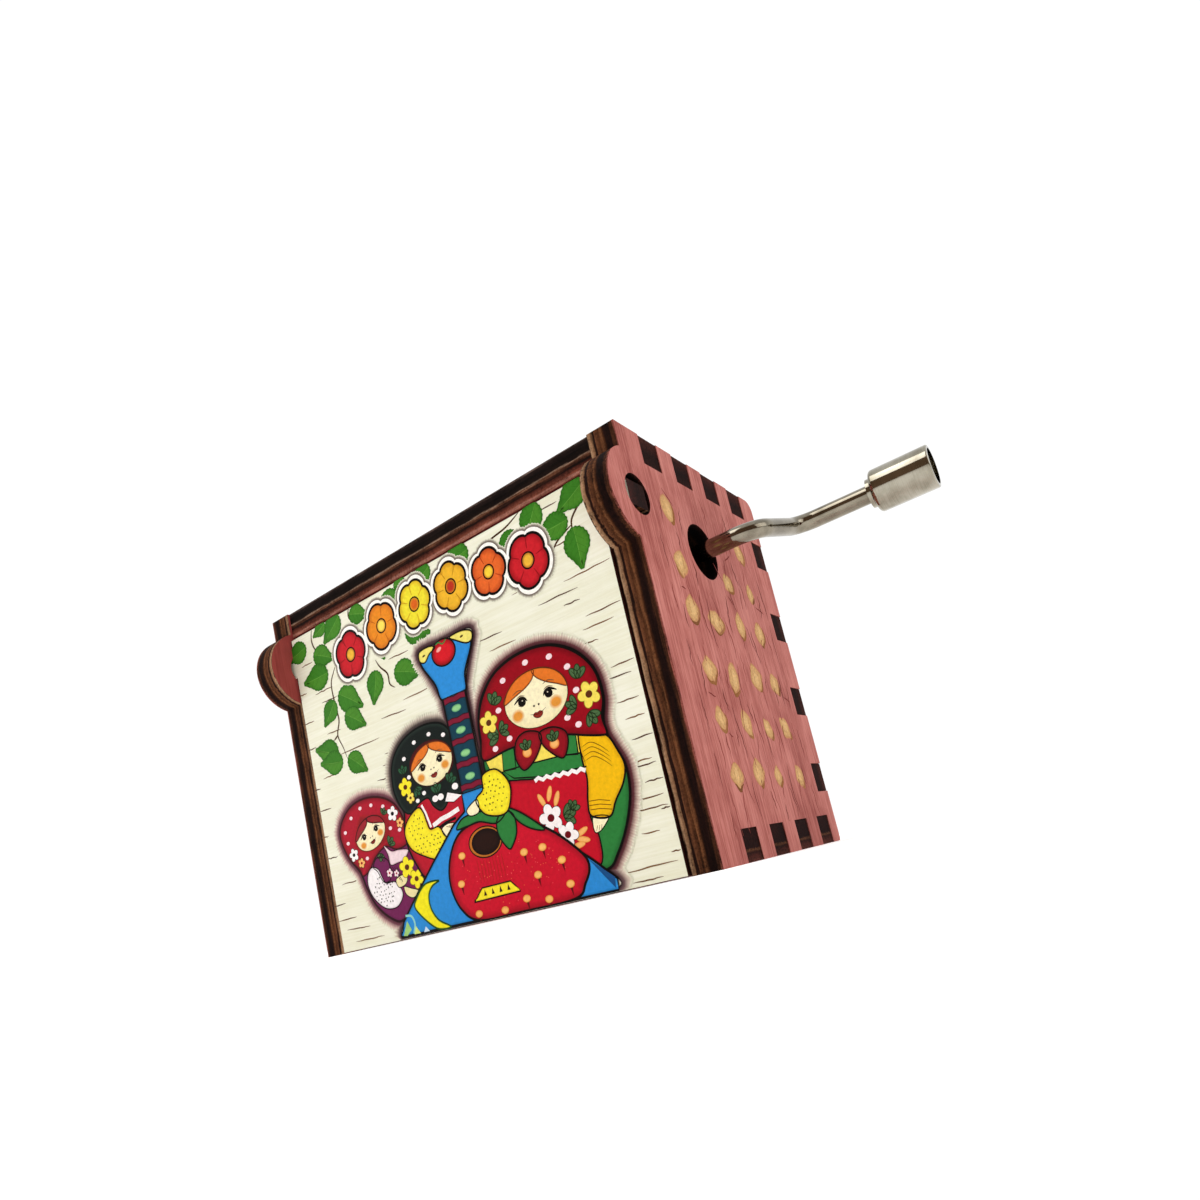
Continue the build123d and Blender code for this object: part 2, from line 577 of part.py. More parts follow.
def drum_pins():
    """The pins, each set in the drum's wall."""
    pins = []
    start = DRUM_RADIUS - PIN_SEAT
    length = PIN_SEAT + PIN_HEIGHT
    places = tooth_places()
    for track, angle in tune():
        pin = Rot(0, 90, 0) * Cylinder(PIN_RADIUS, length)
        pin = Pos(DRUM_X, DRUM_Y, places[track]) * Rot(0, 0, angle) * Pos(start + length / 2, 0, 0) * pin
        pins.append(pin)
    return pins


def drum_arbor():
    """The drum's steel shaft, grooved for its two clips."""
    arbor = rod_z(ARBOR_RADIUS, ARBOR_BOTTOM, ARBOR_TOP, DRUM_X, DRUM_Y)
    arbor = chamfer(arbor.edges().filter_by(GeomType.CIRCLE), ARBOR_CHAMFER)
    for z in arbor_clip_places():
        groove = Cylinder(ARBOR_RADIUS + THROUGH, CLIP_THICKNESS) - Cylinder(ARBOR_RADIUS - CLIP_GROOVE, CLIP_THICKNESS)
        arbor -= Pos(DRUM_X, DRUM_Y, z) * groove
    return arbor


def arbor_clip_places():
    """Z of the arbor's clips, just outside the ears."""
    half = CLIP_THICKNESS / 2
    return [LOWER_EAR_BOTTOM - CLIP_GAP - half, UPPER_EAR_TOP + CLIP_GAP + half]


def arbor_clips():
    """The clips that keep the arbor in its ears."""
    return [Pos(DRUM_X, DRUM_Y, z) * clip(CLIP_RADIUS, ARBOR_RADIUS, CLIP_THICKNESS)
            for z in arbor_clip_places()]


# ---------------------------------------------------------------- worm gear
def worm_wheel():
    """Helical wheel; a tooth gap faces the worm at rest, half way up its face."""
    tip = WHEEL_PITCH_RADIUS + WHEEL_TIP
    root = WHEEL_PITCH_RADIUS - WHEEL_ROOT
    pitch_angle = TURN / WHEEL_TEETH
    half_root = pitch_angle * WHEEL_TOOTH_ROOT
    half_tip = pitch_angle * WHEEL_TOOTH_TIP
    twist = degrees(WHEEL_FACE * LEAD_SLOPE / WHEEL_PITCH_RADIUS)
    points = []
    for tooth in range(WHEEL_TEETH):
        centre = -90 + pitch_angle * (tooth + 0.5) - twist / 2
        for offset, radius in ((-half_root, root), (-half_tip, tip), (half_tip, tip), (half_root, root)):
            angle = radians(centre + offset)
            points.append((radius * cos(angle), radius * sin(angle)))
    section = make_face(Polyline(*points, close=True)).face()
    wheel = Solid.extrude_linear_with_rotation(section, (0, 0, 0), (0, 0, WHEEL_FACE), twist)
    wheel = Pos(DRUM_X, DRUM_Y, WHEEL_BOTTOM) * wheel
    hub_top = UPPER_EAR_BOTTOM - END_FLOAT
    wheel += rod_z(HUB_RADIUS, WHEEL_BOTTOM - WHEEL_HUB, hub_top, DRUM_X, DRUM_Y)
    wheel -= rod_z(ARBOR_RADIUS, WHEEL_BOTTOM - WHEEL_HUB - THROUGH, hub_top + THROUGH, DRUM_X, DRUM_Y)
    return wheel


def worm():
    """Two-start worm; its threads face the wheel half way along."""
    tip = WORM_PITCH_RADIUS + WORM_TIP
    root = WORM_PITCH_RADIUS - WORM_ROOT
    twist = TURN * WORM_THREAD / WORM_LEAD
    edges = []
    for lobe in (0, 180):
        start = polar(tip, lobe - WORM_CREST_HALF)
        end = polar(tip, lobe + WORM_CREST_HALF)
        edges.append(ThreePointArc(start, polar(tip, lobe), end))
        foot = polar(root, lobe + WORM_FOOT_HALF)
        edges.append(Line(end, foot))
        next_foot = polar(root, lobe + 180 - WORM_FOOT_HALF)
        edges.append(ThreePointArc(foot, polar(root, lobe + 90), next_foot))
        edges.append(Line(next_foot, polar(tip, lobe + 180 - WORM_CREST_HALF)))
    section = Rot(0, 0, -twist / 2) * make_face(edges).face()
    thread = Solid.extrude_linear_with_rotation(section, (0, 0, 0), (0, 0, WORM_THREAD), twist)
    thread = Plane(origin=(DRUM_X - WORM_THREAD / 2, WORM_Y, WORM_Z), x_dir=(0, 1, 0), z_dir=(1, 0, 0)) * thread
    x0 = ARM_LEFT + BRACKET / 2 + RUNNING_CLEARANCE + THRUST_WASHER
    x1 = ARM_RIGHT - BRACKET / 2 - RUNNING_CLEARANCE - THRUST_WASHER
    hub_left = rod_x(WORM_HUB_RADIUS, x0, DRUM_X - WORM_THREAD / 2, WORM_Y, WORM_Z)
    hub_right = rod_x(WORM_HUB_RADIUS, DRUM_X + WORM_THREAD / 2, x1, WORM_Y, WORM_Z)
    return thread + hub_left + hub_right - rod_x(ROD_RADIUS, x0 - THROUGH, x1 + THROUGH, WORM_Y, WORM_Z)


def polar(radius, angle):
    """A point at an angle in degrees."""
    return (radius * cos(radians(angle)), radius * sin(radians(angle)))


def thrust_washers():
    """The washers between the worm and the bracket's arms."""
    washers = []
    left = ARM_LEFT + BRACKET / 2 + RUNNING_CLEARANCE
    right = ARM_RIGHT - BRACKET / 2 - RUNNING_CLEARANCE - THRUST_WASHER
    for x in (left, right):
        ring = rod_x(WORM_HUB_RADIUS + THRUST_RIM, x, x + THRUST_WASHER, WORM_Y, WORM_Z)
        washers.append(ring - rod_x(ROD_RADIUS, x - THROUGH, x + THRUST_WASHER + THROUGH, WORM_Y, WORM_Z))
    return washers


# ---------------------------------------------------------------- crank
def crank_clip_x():
    """X of the clip at the inner end of the crank rod."""
    return ARM_LEFT - BRACKET / 2 - CLIP_GAP - CLIP_THICKNESS / 2


def crank_rod():
    """Bent steel wire: the worm's shaft, the arm and the knob's pin."""
    x0 = crank_clip_x() - ROD_BEYOND_CLIP
    path = FilletPolyline(
        (x0, WORM_Y, WORM_Z), (BEND_1_X, WORM_Y, WORM_Z), (BEND_2_X, KNOB_Y, KNOB_Z),
        (ROD_SHOULDER, KNOB_Y, KNOB_Z), radius=BEND)
    section = Plane(origin=(x0, WORM_Y, WORM_Z), z_dir=(1, 0, 0)) * Circle(ROD_RADIUS)
    rod = sweep(section, path=path)
    groove = Cylinder(ROD_RADIUS + THROUGH, CLIP_THICKNESS) - Cylinder(ROD_RADIUS - CLIP_GROOVE, CLIP_THICKNESS)
    rod -= Pos(crank_clip_x(), WORM_Y, WORM_Z) * Rot(0, 90, 0) * groove
    return rod + rod_x(KNOB_PIN / 2, ROD_SHOULDER, KNOB_WEB_END + KNOB_END_PLAY, KNOB_Y, KNOB_Z)


def crank_clip():
    """The clip that keeps the crank rod in its bracket."""
    return Pos(crank_clip_x(), WORM_Y, WORM_Z) * Rot(0, 90, 0) * clip(CRANK_CLIP_RADIUS, ROD_RADIUS, CLIP_THICKNESS)


def knob_washer():
    """The washer against the rod's shoulder, behind the knob."""
    ring = rod_x(KNOB_WASHER / 2, ROD_SHOULDER, ROD_SHOULDER + KNOB_WASHER_THICKNESS, KNOB_Y, KNOB_Z)
    end = ROD_SHOULDER + KNOB_WASHER_THICKNESS + THROUGH
    return ring - rod_x(KNOB_PIN / 2, ROD_SHOULDER - THROUGH, end, KNOB_Y, KNOB_Z)


def knob_sleeve():
    """Turned sleeve, rounded at its inner end and cupped at its outer end."""
    radius = KNOB_DIAMETER / 2
    body = rod_x(radius, KNOB_START, KNOB_END, KNOB_Y, KNOB_Z)
    rims = body.edges().filter_by(GeomType.CIRCLE).sort_by(Axis.X)
    body = fillet(rims[0], KNOB_INNER_ROUND)
    rims = body.edges().filter_by(GeomType.CIRCLE).sort_by(Axis.X)
    body = fillet(rims[-1], KNOB_RIM_ROUND)
    body -= rod_x(radius - KNOB_CUP_WALL, KNOB_WEB_END, KNOB_END + THROUGH, KNOB_Y, KNOB_Z)
    return body - rod_x(KNOB_PIN / 2 + KNOB_CLEARANCE, KNOB_START - THROUGH, KNOB_END, KNOB_Y, KNOB_Z)


def knob_rivet():
    """Peened head that keeps the knob on its pin, inside the cup."""
    x0 = KNOB_WEB_END + KNOB_END_PLAY
    head = rod_x(RIVET_HEAD / 2, x0, x0 + RIVET_THICKNESS, KNOB_Y, KNOB_Z)
    outer = head.edges().filter_by(GeomType.CIRCLE).sort_by(Axis.X)[-1]
    return fillet(outer, RIVET_ROUND)


# ---------------------------------------------------------------- write the nodes
PARTS = {
    "right_side_panel": side_panel(1),
    "left_side_panel": side_panel(-1),
    "top_panel": top_panel(),
    "bottom_panel": bottom_panel(),
    "rear_panel": rear_panel(),
    "picture_lid": picture_lid(),
    "movement_frame": movement_frame(),
    "worm_bracket": worm_bracket(),
    "bracket_screws": bracket_screws(),
    "movement_screws": movement_screws(),
    "comb": comb(),
    "comb_screws": comb_screws(),
    "comb_weights": comb_weights(),
    "drum_tube": drum_tube(),
    "drum_end_caps": drum_end_caps(),
    "drum_pins": drum_pins(),
    "drum_arbor": drum_arbor(),
    "arbor_clips": arbor_clips(),
    "worm_wheel": worm_wheel(),
    "worm": worm(),
    "thrust_washers": thrust_washers(),
    "crank_rod": crank_rod(),
    "crank_clip": crank_clip(),
    "knob_washer": knob_washer(),
    "knob_sleeve": knob_sleeve(),
    "knob_rivet": knob_rivet(),
}

os.makedirs("parts", exist_ok=True)
for name, shape in PARTS.items():
    if isinstance(shape, list):
        shape = Compound(children=shape)
    export_step(shape, f"parts/{name}.step")
print(f"drum axis {DRUM_X:.3f} {DRUM_Y:.3f}  worm {WORM_Y:.3f} {WORM_Z:.3f}")
print(f"hinge {HINGE_Y:.3f} {HINGE_Z:.3f}  knob {KNOB_START:.3f} {KNOB_END:.3f} {KNOB_Y:.3f} {KNOB_Z:.3f}")
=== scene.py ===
"""The looks of a hand-crank music box: a painted plywood case with a printed lid and a nickel crank.

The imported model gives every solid. This file dresses those solids with procedural finishes and adds
the thin printed and painted layers that the case carries: the picture on the lid, and the worn marks
and engraved cracks on the side panels. It also sets up the studio.
"""

from __future__ import annotations

import logging
import math
import random
from collections.abc import Callable, Sequence
from dataclasses import dataclass, field
from enum import Enum
from typing import ClassVar

import bpy
from mathutils import Matrix, Vector
from mathutils.geometry import tessellate_polygon


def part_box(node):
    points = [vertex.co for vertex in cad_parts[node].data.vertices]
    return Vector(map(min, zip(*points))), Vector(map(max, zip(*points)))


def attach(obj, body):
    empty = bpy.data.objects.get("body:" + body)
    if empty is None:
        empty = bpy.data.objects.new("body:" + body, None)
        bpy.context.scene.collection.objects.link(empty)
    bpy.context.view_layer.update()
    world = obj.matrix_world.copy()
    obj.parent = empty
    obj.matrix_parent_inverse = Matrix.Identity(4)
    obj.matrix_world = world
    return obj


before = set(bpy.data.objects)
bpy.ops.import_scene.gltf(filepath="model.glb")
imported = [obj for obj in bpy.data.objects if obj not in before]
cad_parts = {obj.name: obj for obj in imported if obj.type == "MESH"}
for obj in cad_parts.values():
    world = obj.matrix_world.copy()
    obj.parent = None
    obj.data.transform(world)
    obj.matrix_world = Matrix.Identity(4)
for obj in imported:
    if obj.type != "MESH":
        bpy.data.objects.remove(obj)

LOG = logging.getLogger("music_box")
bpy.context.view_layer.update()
MM = 0.001
LAYER = 0.006 * MM
"""Thickness given to one printed or painted layer, so that each lies clear of the one below."""
STAGGER = 0.035
"""Share of a layer between two shapes drawn one after the other, so that their overlaps stay clean."""
STAGGERED = 12
"""How many shapes in a row get a height of their own."""
EDGE_LIFT = 0.5
"""How many layers an inked edge lies above its fill."""
HALO_PITCH_MM = 0.16
"""Spacing of the short strokes in which a halo fades."""
HALO_LIFT = 2.0
"""How many layers a halo's inner ring stands above its outer one."""
SAME_PLACE_MM = 1e-4
THIN_MM2 = 1e-9
FULL_TURN = 2 * math.pi

Point = tuple[float, float]
Outline = str | Sequence[tuple[float, float]]
"""Points in millimetres, or their text: right and up, with a comma between pairs."""
Colour = tuple[float, float, float, float]
Stops = tuple[tuple[float, str], ...]
Tree = bpy.types.NodeTree
Socket = bpy.types.NodeSocket


class Axis(Enum):
    """The three axes of the frame, by their place in a vector."""

    X = 0
    Y = 1
    Z = 2


def linear(code: str) -> Colour:
    """Turns an sRGB hex colour into linear light.

    Args:
        code: Six hex digits.

    Returns:
        Red, green, blue and an alpha of one.
    """
    out = []
    for start in (0, 2, 4):
        value = int(code[start:start + 2], 16) / 255
        out.append(value / 12.92 if value <= 0.04045 else ((value + 0.055) / 1.055) ** 2.4)
    return (out[0], out[1], out[2], 1.0)


def add(tree: Tree, kind: str, inputs: dict | None = None, out: int | str = 0, stops: Stops = (),
        **settings: object) -> Socket | bpy.types.Node:
    """Adds one node with its settings and links.

    Args:
        tree: The node tree to add to.
        kind: The node's type name without the leading "ShaderNode".
        inputs: Socket name or number to a value, or to the socket that feeds it.
        out: Which output to hand back.
        stops: Places from 0 to 1 with hex colours, for a colour ramp.
        **settings: Properties of the node itself.

    Returns:
        The chosen output socket, or the node where it has none.
    """
    node = tree.nodes.new("ShaderNode" + kind)
    for name, value in settings.items():
        setattr(node, name, value)
    for key, value in (inputs or {}).items():
        if isinstance(value, Socket):
            tree.links.new(value, node.inputs[key])
        else:
            node.inputs[key].default_value = value
    if stops:
        bands = node.color_ramp.elements
        while len(bands) < len(stops):
            bands.new(0.5)
        for band, (place, code) in zip(bands, stops):
            band.position = place
            band.color = linear(code)
    return node.outputs[out] if node.outputs else node


def weighed(tree: Tree, parts: Sequence[tuple[Socket, float]], start: Socket | float = 0.0) -> Socket:
    """Adds up patterns, each with its own weight.

    Args:
        tree: The node tree to add to.
        parts: Each pattern's socket and its weight.
        start: What they are added to.

    Returns:
        The sum.
    """
    for pattern, weight in parts:
        start = add(tree, "Math", {0: pattern, 1: weight, 2: start}, operation="MULTIPLY_ADD")
    return start


def start_material(name: str) -> tuple[bpy.types.Material, Tree, bpy.types.Node]:
    """Makes an empty node material.

    Args:
        name: The finish's name.

    Returns:
        The material, its tree and its Principled node.
    """
    material = bpy.data.materials.new(name)
    material.use_nodes = True
    tree = material.node_tree
    tree.nodes.clear()
    shader = tree.nodes.new("ShaderNodeBsdfPrincipled")
    add(tree, "OutputMaterial", {"Surface": shader.outputs[0]})
    return material, tree, shader


def feed(tree: Tree, shader: bpy.types.Node, sources: dict[str, Socket | float]) -> None:
    """Links patterns to a shader's inputs and sets its plain values.

    Args:
        tree: The shader's node tree.
        shader: The shader.
        sources: Input name to a socket, or to a value that is the same all over.
    """
    for name, source in sources.items():
        if isinstance(source, Socket):
            tree.links.new(source, shader.inputs[name])
        else:
            shader.inputs[name].default_value = source


def dress(node: str, material: bpy.types.Material) -> None:
    """Gives a CAD node a finish.

    Args:
        node: The node's name.
        material: The finish.
    """
    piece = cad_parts[node]
    for slot in piece.material_slots:
        slot.material = material
    if not piece.material_slots:
        piece.data.materials.append(material)


# ------------------------------------------------------------------------------------ plywood
@dataclass(frozen=True)
class Streak:
    """A noise drawn out along the grain: its width and length in millimetres, and its detail."""

    width_mm: float
    length_mm: float
    detail: float = 4.0


GRAIN = Streak(0.28, 9.0)
BOARD = Streak(2.6, 16.0, 2.0)
PORE = Streak(0.16, 2.6, 2.0)
FLECK = Streak(0.12, 1.5, 3.0)
CUT_FIBRE = Streak(0.2, 3.5)
CLOUD_MM = 7
"""Size of the patches in which the rolled coat drifts."""
WOBBLE_MM = 2.5
"""How far apart a veneer's glue line sways."""
SOOT_MM = 3.4
"""Size of the sooty patches on a cut edge."""
SCORCH_MM = 0.3
"""Width of the beam's streaks on a cut edge."""
BORE_SHADE_MM = (2.2, 2.8)
# How far round a bore the cut wall is fully darkened with painted shade, and where that ends.
"""How far round a bore the wall is black, and where that ends."""
FACING = 0.7
"""How squarely a surface must face along an axis to count as facing it."""


@dataclass(frozen=True)
class BurntEdge:
    """Laser-cut edge of birch ply: charred veneers, two black glue lines and a sooty skin.

    Places run from the panel's inner face (0) to its outer face (1).
    """

    bands: Stops = (
        (0.0, "2A1A10"), (0.04, "937358"), (0.14, "7C5A40"), (0.18, "24100A"), (0.24, "180A06"),
        (0.28, "5A3622"), (0.42, "402312"), (0.5, "643E26"), (0.57, "33190A"), (0.62, "180906"),
        (0.8, "170806"), (0.85, "341C10"), (0.93, "422416"), (0.975, "7E443C"))
    ends: Stops = ((0.0, "220C08"), (0.45, "180705"), (0.8, "2E120E"), (1.0, "3C1C17"))
    char: float = 0.6


TOP_EDGE = BurntEdge(bands=(
    (0.0, "7A4636"), (0.1, "99685A"), (0.16, "6E3A2C"), (0.3, "3C1A12"), (0.35, "0E0604"), (0.42, "341A10"),
    (0.5, "5C3A28"), (0.54, "7C6454"), (0.58, "140A06"), (0.75, "0C0604"), (0.92, "1C1210"), (1.0, "5A4A44")))
"""The top panel's front edge: a reddish lower veneer under two nearly black ones."""
BOTTOM_EDGE = BurntEdge(ends=(
    (0.0, "200B08"), (0.6, "180605"), (0.66, "523220"), (0.72, "220C08"), (0.85, "3C1B16"), (1.0, "44221B")))
"""The bottom panel's finger ends: black above, with a browner veneer along the base."""


@dataclass(frozen=True)
class PaintedPly:
    """Birch plywood under one thin rolled coat of water paint.

    The grain telegraphs through the coat as fine ridges along the panel, and the coat itself is
    slightly uneven, so the colour drifts a little and the sheen is a dull satin.

    Attributes:
        name: The finish's name.
        thickness_axis: The axis across the panel.
        outer: Where the outer face lies on it, in metres.
        inner: Where the inner face lies on it.
        grain_axis: The axis that the outer veneer's grain follows.
        face: Hex colour of the coat.
        face_dark: The coat where it lies thin in a hollow.
        face_light: The coat where it lies on a ridge.
        back: The inside's colour.
        back_dark: The inside's colour in the hollows.
        pore: Colour of the open pores.
        fleck: Colour of the short light fibres.
        pores: How strongly the pores show, from 0 to 1.
        flecks: How strongly the light fibres show.
        roughness: The coat's middle roughness.
        cut_rougher: How much rougher the charred edge is.
        specular: The coat's specular level, low for a dull water paint.
        edge: How the cut edges are burnt.
        shaded_bores: Y, Z and radius in metres of bores whose walls get painted shade, darker than the char
            of the cut.
    """

    name: str
    thickness_axis: Axis
    outer: float
    inner: float
    grain_axis: Axis
    face: str = "AC665E"
    face_dark: str = "904C45"
    face_light: str = "C07C73"
    back: str = "9A4440"
    back_dark: str = "7C332F"
    pore: str = "7E3C36"
    fleck: str = "CF8E84"
    pores: float = 0.6
    flecks: float = 0.4
    roughness: float = 0.62
    cut_rougher: float = 0.22
    specular: float = 0.06
    edge: BurntEdge = field(default_factory=BurntEdge)
    shaded_bores: tuple[tuple[float, float, float], ...] = ()

    def _drawn(self, tree: Tree, place: Socket, streak: Streak) -> Socket:
        """A noise stretched along the grain.

        Args:
            tree: The node tree to add to.
            place: The place on the panel.
            streak: The noise's size.

        Returns:
            The noise, from 0 to 1.
        """
        scale = [1 / (streak.width_mm * MM)] * 3
        scale[self.grain_axis.value] = 1 / (streak.length_mm * MM)
        stretched = add(tree, "Mapping", {"Vector": place, "Scale": tuple(scale)})
        return add(tree, "TexNoise", {"Vector": stretched, "Scale": 1.0, "Detail": streak.detail}, "Fac")

    def _sheet(self, tree: Tree, place: Socket, outside: Socket) -> tuple[Socket, Socket]:
        """The painted faces: coat, pores and light fibres outside, a plainer, darker red coat inside.

        Args:
            tree: The node tree to add to.
            place: The place on the panel.
            outside: One on the outer half of the panel.

        Returns:
            The faces' colour and their finest grain.
        """
        fine = self._drawn(tree, place, GRAIN)
        broad = self._drawn(tree, place, BOARD)
        cloud = add(tree, "TexNoise", {"Vector": place, "Scale": 1 / (CLOUD_MM * MM), "Detail": 3.0}, "Fac")
        tone = weighed(tree, ((fine, 0.5), (broad, 0.3), (cloud, 0.3)))
        paint = add(tree, "ValToRGB", {0: tone},
                    stops=((0.43, self.face_dark), (0.54, self.face), (0.67, self.face_light)))
        for streak, strength, colour in ((PORE, self.pores, self.pore), (FLECK, self.flecks, self.fleck)):
            marks = self._drawn(tree, place, streak)
            marks = add(tree, "MapRange", {0: marks, 1: 0.58, 2: 0.7, 3: 0.0, 4: strength})
            paint = add(tree, "Mix", {0: marks, 6: paint, 7: linear(colour)}, 2, data_type="RGBA")
        inside = add(tree, "ValToRGB", {0: tone}, stops=((0.36, self.back_dark), (0.6, self.back)))
        return add(tree, "Mix", {0: outside, 6: inside, 7: paint}, 2, data_type="RGBA"), fine

    def _cut(self, tree: Tree, place: Socket, across: Socket, normal: Socket) -> tuple[Socket, Socket]:
        """The cut edge: bands through the thickness, streaked and charred.

        Args:
            tree: The node tree to add to.
            place: The place on the panel.
            across: The place through its thickness.
            normal: Where the surface faces.

        Returns:
            The edge's colour and the beam's streaks.
        """
        wobble = add(tree, "TexNoise", {"Vector": place, "Scale": 1 / (WOBBLE_MM * MM), "Detail": 2.0}, "Fac")
        fibres = self._drawn(tree, place, CUT_FIBRE)
        depth = add(tree, "MapRange", {0: across, 1: self.inner, 2: self.outer, 3: 0.0, 4: 1.0})
        depth = weighed(tree, ((wobble, 0.05), (fibres, 0.16)), depth)
        # Both noises lie about a half, so half of their weights is taken off again.
        depth = add(tree, "Math", {0: depth, 1: 0.105}, operation="SUBTRACT")
        layers = add(tree, "ValToRGB", {0: depth}, stops=self.edge.bands)
        streaks = add(tree, "TexNoise", {"Vector": place, "Scale": 1 / (SCORCH_MM * MM),
                                        "Detail": 5.0, "Roughness": 0.7}, "Fac")
        soot = add(tree, "TexNoise", {"Vector": place, "Scale": 1 / (SOOT_MM * MM), "Detail": 4.0}, "Fac")
        dark = weighed(tree, ((streaks, 0.8), (soot, self.edge.char), (fibres, 0.7)))
        dark = add(tree, "MapRange", {0: dark, 1: 0.78, 2: 1.3, 3: 0.2, 4: 1.75})
        # Finger ends took the beam longest and are the blackest.
        along = add(tree, "SeparateXYZ", {0: normal}, 0)
        end = add(tree, "Math", {0: along}, operation="ABSOLUTE")
        end = add(tree, "Math", {0: end, 1: FACING}, operation="GREATER_THAN")
        ends = add(tree, "ValToRGB", {0: depth}, stops=self.edge.ends)
        cut = add(tree, "Mix", {0: end, 6: layers, 7: ends}, 2, data_type="RGBA")
        middle = (self.outer + self.inner) / 2
        # Painted shade: near each bore the cut wall is darkened well past its char, as if the hole's inside
        # lay in shade.
        for y, z, radius in self.shaded_bores:
            away = add(tree, "VectorMath", {0: place, 1: (middle, y, z)}, "Value", operation="DISTANCE")
            near, far = (radius + reach * MM for reach in BORE_SHADE_MM)
            soft = add(tree, "MapRange", {0: away, 1: near, 2: far, 3: 0.12, 4: 1.0})
            dark = add(tree, "Math", {0: dark, 1: soft}, operation="MULTIPLY")
        return add(tree, "VectorMath", {0: cut, 3: dark}, operation="SCALE"), streaks

    def build(self) -> bpy.types.Material:
        """Builds the material.

        Returns:
            The finish.
        """
        material, tree, shader = start_material(self.name)
        place = add(tree, "TexCoord", out="Object")
        normal = add(tree, "TexCoord", out="Normal")
        axis = self.thickness_axis.value
        facing = add(tree, "SeparateXYZ", {0: normal}, axis)
        across = add(tree, "SeparateXYZ", {0: place}, axis)
        # Which surfaces are the sheet's faces, and which of the two they are.
        steep = add(tree, "Math", {0: facing}, operation="ABSOLUTE")
        is_face = add(tree, "Math", {0: steep, 1: FACING}, operation="GREATER_THAN")
        outside = add(tree, "Math", {0: across, 1: (self.outer + self.inner) / 2},
                      operation="GREATER_THAN" if self.outer > self.inner else "LESS_THAN")
        sheet, fine = self._sheet(tree, place, outside)
        burnt, streaks = self._cut(tree, place, across, normal)
        colour = add(tree, "Mix", {0: is_face, 6: burnt, 7: sheet}, 2, data_type="RGBA")
        gloss = add(tree, "MapRange", {0: fine, 3: self.roughness - 0.1, 4: self.roughness + 0.12})
        gloss = weighed(tree, ((is_face, -self.cut_rougher),), gloss)
        gloss = add(tree, "Math", {0: gloss, 1: self.cut_rougher}, operation="ADD")
        relief = add(tree, "Math", {0: fine, 1: 0.7}, operation="MULTIPLY")
        relief = weighed(tree, ((streaks, 0.35),), relief)
        bump = add(tree, "Bump", {"Height": relief, "Strength": 0.5, "Distance": 0.08 * MM})
        feed(tree, shader, {"Base Color": colour, "Roughness": gloss, "Normal": bump,
                            "Specular IOR Level": self.specular})
        return material


# ------------------------------------------------------------------------------------ metals
@dataclass(frozen=True)
class Metal:
    """A metal finish with fine marks along one axis and a broad, faint unevenness.

    Attributes:
        name: The finish's name.
        colour: Hex colour of the clean metal.
        dark: Its colour where it is duller.
        roughness: Its middle roughness.
        mark_mm: Width of one mark.
        mark_length_mm: Length of one mark.
        mark_axis: The axis that the marks follow.
        depth_mm: How deep they are.
    """

    name: str
    colour: str
    dark: str
    roughness: float
    mark_mm: float
    mark_length_mm: float
    mark_axis: Axis
    depth_mm: float

    def build(self) -> bpy.types.Material:
        """Builds the material.

        Returns:
            The finish.
        """
        material, tree, shader = start_material(self.name)
        place = add(tree, "TexCoord", out="Object")
        scale = [1 / (self.mark_mm * MM)] * 3
        scale[self.mark_axis.value] = 1 / (self.mark_length_mm * MM)
        stretched = add(tree, "Mapping", {"Vector": place, "Scale": tuple(scale)})
        marks = add(tree, "TexNoise", {"Vector": stretched, "Scale": 1.0, "Detail": 3.0}, "Fac")
        # Handled plating dulls in patches of about two millimetres.
        cloud = add(tree, "TexNoise", {"Vector": place, "Scale": 1 / (2.2 * MM), "Detail": 4.0}, "Fac")
        tone = add(tree, "Math", {0: marks, 1: 0.35}, operation="MULTIPLY")
        tone = weighed(tree, ((cloud, 0.65),), tone)
        colour = add(tree, "ValToRGB", {0: tone}, stops=((0.32, self.dark), (0.58, self.colour)))
        rough = add(tree, "MapRange", {0: tone, 1: 0.3, 2: 0.7, 3: self.roughness * 1.35,
                                       4: self.roughness * 0.8})
        bump = add(tree, "Bump", {"Height": marks, "Strength": 0.35, "Distance": self.depth_mm * MM})
        feed(tree, shader, {"Base Color": colour, "Roughness": rough, "Normal": bump, "Metallic": 1.0})
        return material


NICKEL_WIRE_SHADED = Metal("nickel_plated_drawn_wire", "8C8576", "625B4E", 0.1, 0.06, 3.0, Axis.X, 0.003)
# Nickel over drawn steel with the die's faint lines along the wire, its colour darkened to a warm grey as
# painted shade for the dim room the crank mirrors.
"""Bright nickel over drawn steel: a warm grey mirror with the die's faint lines along the wire."""
NICKEL_SLEEVE_SHADED = Metal("nickel_plated_turned_sleeve", "A19C8E", "7C7666", 0.08, 3.0, 0.06, Axis.X, 0.003)
# Nickel over a turned tube with faint lathe lines round it, its colour darkened as painted shade for the dim
# room it mirrors.
"""Bright nickel over a turned tube: a mirror with faint lathe lines round it."""
TURNED_NICKEL = Metal("nickel_plated_turned_steel", "E0DCD2", "C2BDAF", 0.1, 3.0, 0.05, Axis.X, 0.003)
